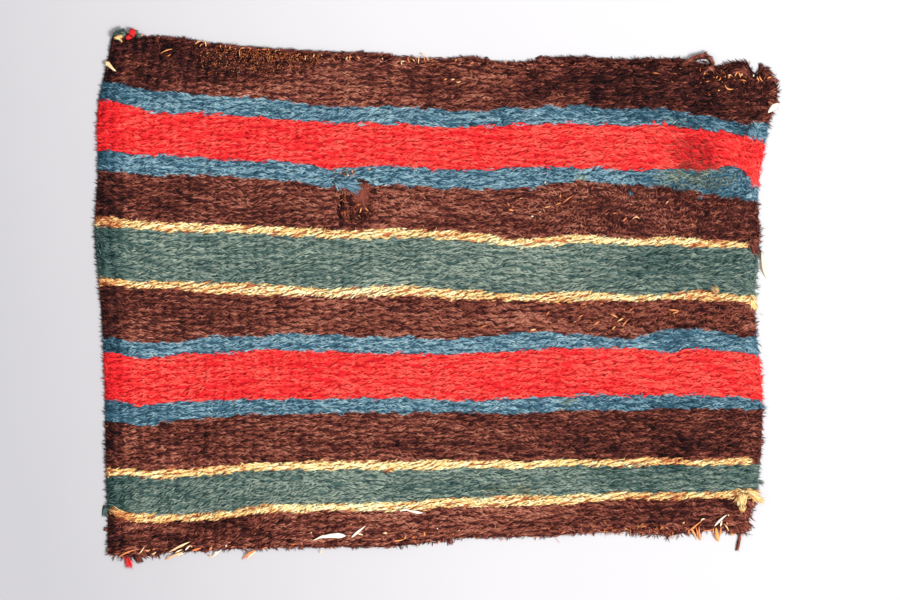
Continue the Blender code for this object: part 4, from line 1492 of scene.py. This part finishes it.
    def splinters(self, rows: Rows, lift: float) -> Surface:
        """Makes splinters: a straight line bowed by 4t(1-t), as wide as its taper, flattened.

        Half the width is the lesser of t / fullest and (1 - t) / (1 - fullest), raised to the
        taper's power. Its ends dip, and under floor_level it comes down towards the floor.

        Args:
            rows: the splinters, as the class says.
            lift: height over the cloth's ground in millimetres.

        Returns:
            One closed surface.
        """
        table = np.array([(*row, self.halfway)[:8] for row in rows], float)
        start, end = table[:, 0:2] * MM, table[:, 2:4] * MM
        width, bow, tone, fullest = (table[:, index, None] for index in (4, 5, 6, 7))
        share = np.linspace(0, 1, self.stations)[None]
        run = end - start
        left = unit(np.stack([-run[:, 1], run[:, 0]], axis=-1))
        arch = bow * MM * 4 * share * (1 - share)
        plan = start[:, None] + run[:, None] * share[..., None] + left[:, None] * arch[..., None]
        taper = np.minimum(share / fullest, (1 - share) / (1 - fullest)).clip(0, 1)
        half = width * MM / 2 * np.maximum(taper**self.taper_power, self.least_taper)
        bend = 1 - self.dip * (2 * share - 1) ** 2
        level = PLAN.ground(plan[..., 0], plan[..., 1]) + lift * MM * bend
        lowered = np.maximum(level * self.settling, half + self.floor_gap)
        level = np.where(level > self.floor_level, level, lowered)
        paths = np.concatenate([plan, level[..., None]], axis=-1)
        turns = 2 * np.pi * np.arange(self.sides) / self.sides
        ring = np.stack([turns, 1 + self.ridge * np.cos(3 * turns)], axis=-1)
        height = np.minimum(half * self.flatness, self.thickness)
        numbers = {"tint": tone + 0 * share, "stain": 0 * tone + 0 * share}
        return tubes(paths, half, height, ring, numbers)

    def speckled(self, patch: SpeckPatch, chance: np.random.Generator) -> Surface:
        """Scatters short ends in an oval, folded back where it runs over the upper edge.

        Args:
            patch: the oval and its ends.
            chance: the random numbers to draw from.

        Returns:
            The ends' closed surface.
        """
        away = chance.random(patch.count) ** 0.6
        bearing = chance.uniform(0, 2 * np.pi, patch.count)
        zero = np.zeros(patch.count)
        x = (patch.x + patch.half_x * away * np.cos(bearing)) * MM
        y = (patch.y + patch.half_y * away * np.sin(bearing)) * MM
        limit = PLAN.edge(PLAN.upper_edge, x) - self.speck_margin
        return Fibres(
            x=x,
            y=limit - np.abs(limit - y),
            turn=chance.uniform(0, 2 * np.pi, patch.count),
            length=patch.length * MM * chance.uniform(0.5, 1.5, patch.count),
            width=MM * chance.uniform(0.6, 1.0, patch.count),
            curl=chance.normal(0, 0.09, patch.count) * patch.length,
            start=1.2 * MM + zero,
            middle=chance.uniform(2.2, 3.4, patch.count) * MM,
            end=chance.uniform(1.6, 3.4, patch.count) * MM,
            tint=patch.tone + 0.14 * chance.standard_normal(patch.count),
            stain=zero,
        ).surface(4)

    def build(self) -> list[bpy.types.Object]:
        """Makes the named quills, each for its solid, and one piece of all the plant fibre.

        Returns:
            The pieces.
        """
        material = STIFF_FIBRE.material()
        pieces = []
        for node, rows in self.quills:
            piece = self.splinters(rows, self.lift).piece(f"{node}_fibre", [material], Slot.QUILL)
            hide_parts(node)
            pieces.append(piece)
        chance = np.random.default_rng(self.seed)
        hooks = self.upper_hooks + self.cloth_hooks + self.lower_hooks
        parts = [self.splinters(hooks, self.lift), self.splinters(self.right_quill, self.low_lift)]
        parts += [self.speckled(patch, chance) for patch in self.specks]
        pieces.append(Surface.joined(parts).piece("plant_fibre_ends", [material], Slot.QUILL))
        return pieces


@dataclass(frozen=True)
class Lock:
    """A loose lock of fibres that starts at one place and fans out, in millimetres and degrees.

    fan is how far its outer fibres turn away from it, height how high its middle lies, and fibre
    the width of one. level is the height that it lies at, and None on the cloth's ground.
    """

    x: float
    y: float
    length: float
    width: float
    turn: float
    count: int
    curl: float = 0.0
    fan: float = 9.0
    height: float = 3.4
    fibre: float = 1.6
    tint: float = 0.45
    level: float | None = None

    def surface(self, chance: np.random.Generator) -> Surface:
        """Spreads the fibres' starts over the lock's width, highest in the middle, and fans them.

        Args:
            chance: the random numbers to draw from.

        Returns:
            The lock's closed surface.
        """
        count = self.count
        across = chance.uniform(-1, 1, count)
        back = chance.uniform(0, 0.4, count)
        turn = math.radians(self.turn)
        along, side = back * self.length, across * self.width / 2
        crown = self.height * (1 - 0.65 * across**2)
        lift = chance.uniform(0.3, 1.0, count)
        fibres = Fibres(
            x=(self.x + along * math.cos(turn) - side * math.sin(turn)) * MM,
            y=(self.y + along * math.sin(turn) + side * math.cos(turn)) * MM,
            turn=turn + np.radians(self.fan * (across + 0.5 * chance.standard_normal(count))),
            length=self.length * MM * (1 - 0.8 * back) * chance.uniform(0.6, 1.05, count),
            width=self.fibre * MM * chance.uniform(0.5, 1.1, count),
            curl=np.radians(self.curl * chance.uniform(0.7, 1.3, count) + chance.normal(0, 16, count)),
            start=crown * MM * chance.uniform(0.1, 0.7, count),
            middle=crown * MM * lift,
            end=crown * MM * lift * chance.uniform(0.4, 0.9, count),
            # Painted shade: lower fibres and those at the lock's sides are darker, higher ones lighter.
            tint=(
                self.tint
                + 0.5 * (lift - 0.65)
                - 0.14 * across**2
                + 0.16 * chance.standard_normal(count)
            ),
            stain=np.zeros(count),
        )
        base = None if self.level is None else np.full(count, self.level * MM)
        return fibres.surface(5, base)


@dataclass(frozen=True)
class YarnRun:
    """Loose yarn along a path: short fibres packed round the path and turned with it.

    path holds X, Y and Z in millimetres. twist is how far fibres slant from one side of the yarn to
    the other and loose their chance turn, in degrees. beside is how far before and beyond a place
    the path is read for its turn there, as a share of its length.
    """

    path: tuple[tuple[float, float, float], ...]
    radius: float
    count: int
    fibre_length: float = 7.0
    fibre: float = 1.4
    twist: float = 24.0
    tint: float = 0.42
    loose: float = 7.0

    beside: ClassVar[float] = 0.02

    def steps(self) -> Array:
        """Lengths between the path's places in millimetres."""
        return np.linalg.norm(np.diff(np.array(self.path, float), axis=0), axis=1)

    def at(self, share: Array) -> Array:
        """Reads the path as smooth curves of X, Y and Z.

        Args:
            share: shares of its length.

        Returns:
            The places there, in millimetres.
        """
        steps = self.steps()
        shares = np.concatenate([[0], np.cumsum(steps)]) / steps.sum()
        return np.stack([smooth_through(share, shares, axis) for axis in zip(*self.path)], -1)

    def heading(self, share: Array) -> Array:
        """The path's turn from +X at shares of its length, in radians."""
        run = self.at(share + self.beside) - self.at(share - self.beside)
        return np.arctan2(run[:, 1], run[:, 0])

    def surface(self, chance: np.random.Generator) -> Surface:
        """Lays each fibre along the path from its own place in the yarn's round section.

        Args:
            chance: the random numbers to draw from.

        Returns:
            The yarn's closed surface.
        """
        count = self.count
        reach = self.fibre_length / float(self.steps().sum())
        share = chance.uniform(0.02, 0.98 - reach, count)
        near, far = self.at(share), self.at(share + reach)
        heading, later = self.heading(share), self.heading(share + reach)
        curl = (later - heading + np.pi) % (2 * np.pi) - np.pi
        round_yarn = chance.uniform(0, 2 * np.pi, count)
        away = self.radius * np.sqrt(chance.uniform(0.1, 1, count))
        side = away * np.cos(round_yarn)
        slant = np.radians(self.twist) * np.sin(round_yarn)
        rise = (far - near)[:, 2] * MM
        fibres = Fibres(
            x=(near[:, 0] - side * np.sin(heading)) * MM,
            y=(near[:, 1] + side * np.cos(heading)) * MM,
            turn=heading + slant + np.radians(self.loose) * chance.standard_normal(count),
            length=self.fibre_length * MM * chance.uniform(0.8, 1.2, count),
            width=self.fibre * MM * chance.uniform(0.7, 1.2, count),
            curl=curl + np.radians(self.loose) * chance.standard_normal(count),
            start=np.zeros(count),
            middle=rise / 2,
            end=rise,
            # Painted light on the upper side of the yarn's round section, painted shade on its underside.
            tint=self.tint + 0.16 * chance.standard_normal(count) + 0.2 * np.sin(round_yarn),
            stain=np.zeros(count),
        )
        return fibres.surface(5, (near[:, 2] + away * np.sin(round_yarn)) * MM)


@dataclass(frozen=True)
class LooseYarn:
    """Loose yarn that stands for one solid, or that lies on the cloth for itself."""

    name: str
    finish: YarnFinish
    slot: Slot
    parts: tuple[Lock | YarnRun, ...]
    node: str = ""

    def build(self, seed: int) -> bpy.types.Object:
        """Makes all its locks and runs one piece.

        Args:
            seed: what its random numbers start from.

        Returns:
            The piece.
        """
        chance = np.random.default_rng(seed)
        surfaces = [part.surface(chance) for part in self.parts]
        piece = Surface.joined(surfaces).piece(self.name, [self.finish.material()], self.slot)
        if self.node:
            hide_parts(self.node)
        return piece


@dataclass(frozen=True)
class EdgeYarns:
    """The knot and yarn ends of the corners, the loop of the upper edge and the loose locks."""

    seed: int = 101

    def yarns(self) -> tuple[LooseYarn, ...]:
        """Lays out the loose yarn.

        Returns:
            The yarns that stand for solids, then the locks that lie on the cloth, colour by colour.
        """
        brown, blue, red, yellow, green = (YARNS[yarn] for yarn in Yarn)
        cloth = Slot.CLOTH
        return (
            LooseYarn("corner_knot_yarn", GREY_YARN, Slot.GREY_GREEN, (
                YarnRun((
                    (-428, 336.5, 4), (-426, 341.5, 5.4), (-419, 346, 6.6), (-410, 348, 6),
                ), 2.9, 150, tint=0.27, loose=14),
                YarnRun((
                    (-427, 335.5, 3.4), (-421, 339.5, 6), (-414, 342.5, 6.8), (-408, 343, 5.6),
                ), 2.4, 100, tint=0.26, loose=14),
                YarnRun((
                    (-404, 346, 5), (-399, 346, 6), (-395, 342, 5.4), (-394, 337, 5),
                ), 2.0, 70, tint=0.3, loose=14),
            ), "corner_knot"),
            LooseYarn("corner_red_lock", red, Slot.RED, (
                Lock(-408, 350, 12, 6, -22, 60, -34, 8, 4.5, 1.3, 0.5, 4.5),
                Lock(-410, 344, 8, 5, -66, 45, 20, 8, 3.5, 1.3, 0.4, 6.5),
            ), "corner_red_yarn"),
            LooseYarn("corner_pale_lock", yellow, Slot.YELLOW, (
                Lock(-428, 339, 13, 4, 14, 40, -10, 2, 3.0, 1.1, 0.56, 9.0),
                Lock(-420, 339.4, 7, 2.0, -58, 10, 0, 2, 2.0, 1.0, 0.4, 8.0),
            ), "corner_pale_yarn"),
            LooseYarn("upper_edge_loop", brown, cloth, (
                YarnRun((
                    (316, 298, 6), (325, 304, 6), (336, 311, 5), (347, 315, 4.5), (356, 314.6, 4.5),
                    (362, 310, 5), (362.5, 303, 6), (356, 298, 7), (346, 298.5, 7),
                ), 2.5, 460, 8.0, 1.2, 16, 0.3),
                Lock(350, 312, 11, 4.5, 70, 34, -22, -14, 2.4, 1.1, 0.3, 3.4),
                Lock(355, 302, 12, 3.6, -32, 22, 10, 6, 2.2, 1.0, 0.75, 7.0),
            ), "edge_yarn_loop"),
            LooseYarn("lower_corner_red_lock", red, Slot.RED, (
                Lock(-413, -341, 22, 8, -64, 44, -12, -20, 3.0, 1.1, 0.3, 0.4),
            ), "lower_red_tuft"),
            LooseYarn("warp_cord_end_ply", BROWN_CORD, Slot.CORD, (
                YarnRun((
                    (400, -312, 3), (398.6, -321, 2.4), (396.6, -330, 2.2), (395, -338.6, 2.2),
                ), 1.3, 260, 8.0, 0.9, 12, 0.34, 2.0),
            ), "warp_cord_end"),
            LooseYarn("yellow_yarn_end_lock", yellow, Slot.YELLOW, (
                Lock(408, -258, 27, 8, -33, 100, -6, -6, 4.0, 1.3, 0.5, 6.5),
                Lock(404, -257, 24, 5, -12, 50, -30, 6, 3.6, 1.3, 0.5, 7.0),
            ), "yellow_yarn_end"),
            LooseYarn("yellow_yarn_tuft_lock", yellow, Slot.YELLOW, (
                Lock(404, -259, 21, 15, -104, 170, 4, -12, 5.0, 1.3, 0.55, 6.0),
                Lock(396, -264, 12, 5, -62, 40, -30, 0, 5.0, 1.3, 0.4, 7.0),
                YarnRun((
                    (400, -276, 10), (399.8, -281, 10), (401, -285, 10), (403.6, -285.4, 10),
                    (405.6, -282, 10), (405, -276.5, 10),
                ), 1.6, 110, 5.0, 1.0, 20, 0.42),
            ), "yellow_yarn_tuft"),
            LooseYarn("worn_felt_patch", WORN_FELT, cloth, (
                Lock(-94, 154, 38, 16, -104, 420, 0, -2, 1.8, 1.8, 0.44),
            )),
            LooseYarn("brown_locks", brown, cloth, (
                YarnRun((
                    (-300, 330.4, 3), (-270, 327.2, 3), (-235, 324.2, 3), (-180, 321, 3),
                    (-130, 318.4, 3), (-106, 318, 3),
                ), 1.5, 460, 11.0, 1.2, 8, 0.2),
                Lock(-372, 333, 9, 6, 60, 34, 10, -16, tint=0.3),
                Lock(-338, 335, 8, 4, 40, 16, 20, -10, tint=0.3),
                Lock(-146, 317, 6, 2, 95, 6, 0, 4, tint=0.2),
                Lock(-62, 309, 7, 2, 92, 6, 10, 4, tint=0.2),
                Lock(-114, 313, 19, 10, 16, 90, -34, 6, tint=0.36),
                Lock(-54, 306, 9, 5, 60, 24, -50, 6, tint=0.36),
                Lock(62, 308, 8, 8, 30, 40, -40, 0, tint=0.34),
                Lock(130, 309, 12, 8, 24, 44, -30, 0, tint=0.34),
                Lock(294, 306, 12, 1, 96, 2, 0, 2, 3.0, 0.8, 0.3),
                Lock(386, 290, 19, 11, 42, 80, -76, 0, 4.5, 1.3, 0.32),
                Lock(399, 303, 19, 9, -38, 80, -30, 0, 4.5, 1.4, 0.3),
                Lock(424, 290, 17, 5, 74, 30, 8, -8, tint=0.3),
                Lock(426, 291, 19, 9, 28, 60, -74, 0, 4.5, 1.4, 0.32),
                Lock(438, 286, 15, 3, -8, 12, -56, 2, 2.4, 1.1, 0.6),
                Lock(436, 270, 12, 10, -10, 50, 40, 16, tint=0.36),
                Lock(434, 256, 13, 8, -16, 40, -40, 16, tint=0.36),
                Lock(413, 84, 38, 10, -75, 150, -4, -8, 3.4, 1.2, 0.26),
                Lock(418, -212, 14, 6, -74, 40, 10, 0, 3.0, 1.3, 0.25),
                Lock(-82, 144, 13, 6, -100, 40, 0, 0, 3.8, 1.4, 0.04),
                Lock(-106, 156, 9, 5, -60, 30, 0, 0, 3.8, 1.4, 0.04),
                Lock(15, -319, 12, 5, -76, 20, -10, 10, tint=0.3),
                Lock(9, -319, 9, 3, -112, 10, 10, 8, tint=0.3),
                Lock(-101, -324, 17, 7, -152, 44, 18, 8, tint=0.34),
                Lock(-174, -328, 11, 5, -140, 20, 0, 10, tint=0.34),
                Lock(-398, -340, 15, 10, -72, 80, 20, -12, 4.0, 1.4, 0.3),
                Lock(-430, -334, 9, 4, 206, 14, 10, 4, tint=0.3),
                Lock(-434, -310, 7, 5, 160, 14, 30, 4, tint=0.2),
                Lock(391, -303, 14, 16, -84, 70, 20, 10, fibre=1.2, tint=0.4),
                Lock(403, -300, 15, 14, -66, 70, 20, 10, fibre=1.2, tint=0.4),
                Lock(404, -284, 11, 20, -30, 70, -10, 10, fibre=1.2, tint=0.4),
                Lock(411, -268, 14, 14, -56, 60, 10, 8, fibre=1.2, tint=0.4),
            )),
            LooseYarn("red_edge_locks", red, cloth, (
                Lock(412, 168, 30, 8, -66, 60, -14, -6, 3.8, 1.2, 0.6),
                Lock(304, 220, 13, 5, 120, 24, 10, -12, 3.8, 1.1, 0.6),
                Lock(291, 221, 13, 5, 124, 24, 10, -12, 3.8, 1.1, 0.5),
                Lock(352, 212, 12, 4, 126, 20, 10, -10, 3.8, 1.1, 0.6),
                Lock(368, 208, 12, 4, 130, 20, 10, -10, 3.8, 1.1, 0.6),
            )),
            LooseYarn("blue_locks", blue, cloth, (
                Lock(-137, 150, 38, 10, -16, 90, -12, -16, 4.4, 1.2, 0.38),
                Lock(-138, 154, 22, 7, -38, 50, 10, -6, 4.2, 1.4, 0.4),
                Lock(-136, 152, 16, 6, -66, 40, 10, -6, 4.0, 1.4, 0.34),
                Lock(-140, 152, 18, 6, -142, 40, -20, -6, 4.0, 1.4, 0.46),
                Lock(-138, 152, 16, 6, 172, 34, 20, -6, 4.0, 1.4, 0.5),
                Lock(-86, 150, 9, 4, -24, 24, 10, 8, 4.2, 1.1, 0.95),
                Lock(404, 131, 13, 6, -10, 40, 60, 4, 4.8, 1.1, 0.66),
                Lock(412, 127, 8, 3, 60, 14, 60, 8, 4.8, 1.0, 0.95),
                Lock(410, 222, 18, 12, -36, 70, -50, 8, 4.4, 1.2, 0.4),
                Lock(416, 232, 14, 3, -62, 20, 10, 2, 5.0, 1.1, 0.62),
                Lock(421, 218, 12, 3, 66, 16, -10, 2, 5.0, 1.1, 0.68),
                Lock(252, 139, 9, 4, -60, 14, 0, 8, tint=0.3),
                Lock(346, 134, 9, 4, -70, 14, 0, 8, tint=0.3),
                Lock(256, 160, 15, 3, -80, 12, 30, 6, 4.6, 1.1, 0.7),
            )),
            LooseYarn("green_locks", green, cloth, (
                Lock(-437, -276, 17, 9, 262, 60, 10, -6, 3.0, 1.3, 0.16),
                Lock(421, -246, 12, 4, -8, 14, -20, 6, 3.0, 1.1, 0.5),
            )),
            LooseYarn("yellow_feather", yellow, Slot.YELLOW, (
                Lock(-407, -291, 29, 8, 163, 70, 10, -14, 4.2, 1.3, 0.34),
                Lock(-428, -283, 10, 3, -68, 16, 0, -8, 4.0, 1.2, 0.3),
                Lock(412, -4, 18, 9, -58, 90, -16, -8, 4.0, 1.4, 0.55),
                Lock(412, 2, 14, 5, -40, 30, -30, -6, 4.4, 1.2, 0.45),
                Lock(372, -4, 21, 5, 108, 22, 40, 8, 4.6, 0.8, 0.5),
            )),
        )

    def build(self) -> list[bpy.types.Object]:
        """Makes every loose yarn.

        Returns:
            The pieces.
        """
        return [yarn.build(self.seed + number) for number, yarn in enumerate(self.yarns())]


@dataclass(frozen=True)
class WovenGround:
    """The woven ground under the pile: one closed sheet with ribs, its underside flat.

    The bake map shows map_size of the floor from map_corner on. The sheet's top fills the map up to
    map_height, its underside the same height from map_under on, and its rim a strip between the two
    levels of map_rim.
    """

    columns: int = 276
    row_height: float = 12.0 * MM
    least_height: float = 1.2 * MM
    underside: float = 0.25 * MM
    flat_width: float = 0.90
    flat_length: float = 0.70
    area: float = 0.56
    map_corner: tuple[float, float] = (-0.46, -0.36)
    map_size: tuple[float, float] = (0.92, 0.72)
    map_height: float = 0.48
    map_under: float = 0.5
    map_rim: tuple[float, float] = (0.985, 0.99)

    def grid(self) -> tuple[Array, Array, NDArray[np.int32]]:
        """Lays out the sheet's points in rows that follow the stripes, in even steps down each stripe.

        Returns:
            X and Y as rows by columns, and the stripe of each row of faces.
        """
        share_x = np.linspace(0, 1, self.columns + 1)
        rows_x, rows_y, stripes = [], [], []
        for number in range(len(PLAN.stripes)):
            steps = max(2, round(PLAN.height(number) / self.row_height))
            first = 0 if number == 0 else 1
            for step in range(first, steps + 1):
                x, y = PLAN.places(number, share_x, np.full_like(share_x, step / steps))
                rows_x.append(x)
                rows_y.append(y)
            stripes += [number] * steps
        return np.array(rows_x), np.array(rows_y), np.array(stripes, np.int32)

    def build(self) -> bpy.types.Object:
        """Makes the ground: height by the plan above, flat below, joined all round the rim.

        Returns:
            The piece, which stands for the cloth's solid.
        """
        x, y, stripes = self.grid()
        rows, columns = x.shape
        upper = np.stack([x, y, np.maximum(PLAN.ground(x, y), self.least_height)], axis=-1)
        lower = np.stack([x, y, np.full_like(x, self.underside)], axis=-1)
        points = np.concatenate([upper.reshape(-1, 3), lower.reshape(-1, 3)])
        index = np.arange(rows * columns).reshape(rows, columns)
        under = index + rows * columns
        a, b, c, d = index[:-1, :-1], index[1:, :-1], index[1:, 1:], index[:-1, 1:]
        top = np.stack([a, b, c, a, c, d], axis=-1).reshape(-1, 3)
        bottom = top[:, ::-1] + rows * columns
        loop = np.concatenate([index[0, :-1], index[:-1, -1], index[-1, :0:-1], index[:0:-1, 0]])
        below = np.concatenate([under[0, :-1], under[:-1, -1], under[-1, :0:-1], under[:0:-1, 0]])
        after, below_after = np.roll(loop, -1), np.roll(below, -1)
        wall = np.stack([loop, after, below_after, loop, below_after, below], axis=-1).reshape(-1, 3)
        faces = np.concatenate([top, bottom, wall])
        shares = (points[:, :2] - self.map_corner) / self.map_size * (1, self.map_height)
        chart = shares[faces]
        chart[len(top) :, :, 1] += self.map_under
        start = np.arange(loop.size) / loop.size
        end = start + 1 / loop.size
        low, high = (np.full(loop.size, level) for level in self.map_rim)
        along = np.stack([start, end, end, start, end, start], axis=-1)
        level = np.stack([high, high, low, high, low, low], axis=-1)
        chart[-len(wall) :] = np.stack([along, level], axis=-1).reshape(-1, 3, 2)
        yarns = list(YARNS)
        materials = [YARNS[yarn].bed() for yarn in yarns]
        piece = Surface(points, faces, chart.reshape(-1, 2)).piece("woven_ground", materials, Slot.CLOTH)
        worn = np.array([yarns.index(stripe.yarn) for stripe in PLAN.stripes])
        row_wear = np.repeat(worn[stripes], (columns - 1) * 2)
        wall_wear = np.repeat(self.wall_wear(worn, stripes, columns), 2)
        piece.data.polygons.foreach_set(
            "material_index", np.concatenate([row_wear, row_wear, wall_wear]).astype(np.int32)
        )
        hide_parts("mantle_panel")
        return piece

    def wall_wear(
        self, worn: NDArray[np.int_], stripes: NDArray[np.int32], columns: int
    ) -> NDArray[np.int_]:
        """Finds the material of each step round the rim, in the order in which the rim is walked.

        Args:
            worn: the material of each stripe, by its number in the piece's list.
            stripes: the stripe of each row of faces.
            columns: points in a row.

        Returns:
            The materials along the upper edge, down the right one, and back round the other two.
        """
        upper = np.full(columns - 1, worn[0])
        lower = np.full(columns - 1, worn[-1])
        side = worn[stripes]
        return np.concatenate([upper, side, lower, side[::-1]])


@dataclass(frozen=True)
class Studio:
    """The floor, the lights and the camera, straight above the cloth."""

    frame_width: float = 1.188
    centre_x: float = 0.0165
    centre_y: float = -0.0066
    camera_height: float = 3.0
    floor_size: float = 8.0
    sky: Seen = (244, 246, 250)
    sky_strength: float = 0.75
    sun_strength: float = 4.05
    sun_size: float = 22.0
    sun_elevation: float = 48.0
    sun_bearing: float = -28.0

    def build(self) -> None:
        """Makes the floor, the sky, the large soft lamp and the camera."""
        half = self.floor_size / 2
        mesh = bpy.data.meshes.new("floor")
        corners = [(-half, -half, 0), (half, -half, 0), (half, half, 0), (-half, half, 0)]
        mesh.from_pydata(corners, [], [(0, 1, 2, 3)])
        mesh.materials.append(FloorFinish().material())
        floor = bpy.data.objects.new("floor", mesh)
        bpy.context.scene.collection.objects.link(floor)
        world = bpy.data.worlds.new("sky")
        world.use_nodes = True
        background = world.node_tree.nodes["Background"]
        background.inputs["Color"].default_value = linear(self.sky)
        background.inputs["Strength"].default_value = self.sky_strength
        bpy.context.scene.world = world
        bpy.context.scene.view_settings.view_transform = "Standard"
        lamp = bpy.data.lights.new("window_light", "SUN")
        lamp.energy = self.sun_strength
        lamp.angle = math.radians(self.sun_size)
        sun = bpy.data.objects.new("window_light", lamp)
        sun.rotation_euler = (0, math.radians(90 - self.sun_elevation), math.radians(self.sun_bearing))
        bpy.context.scene.collection.objects.link(sun)
        eye = bpy.data.cameras.new("camera")
        eye.type = "ORTHO"
        eye.ortho_scale = self.frame_width
        camera = bpy.data.objects.new("camera", eye)
        camera.location = (self.centre_x, self.centre_y, self.camera_height)
        bpy.context.scene.collection.objects.link(camera)
        bpy.context.scene.camera = camera


def main() -> None:
    """Builds the studio, the ground, the pile and the small pieces."""
    logging.basicConfig(level=logging.INFO, format="%(name)s: %(message)s")
    Studio().build()
    ground = WovenGround()
    cloth = ground.build()
    dressed = Pile().build() + StiffFibres().build() + EdgeYarns().build()


if __name__ == "__main__":
    main()
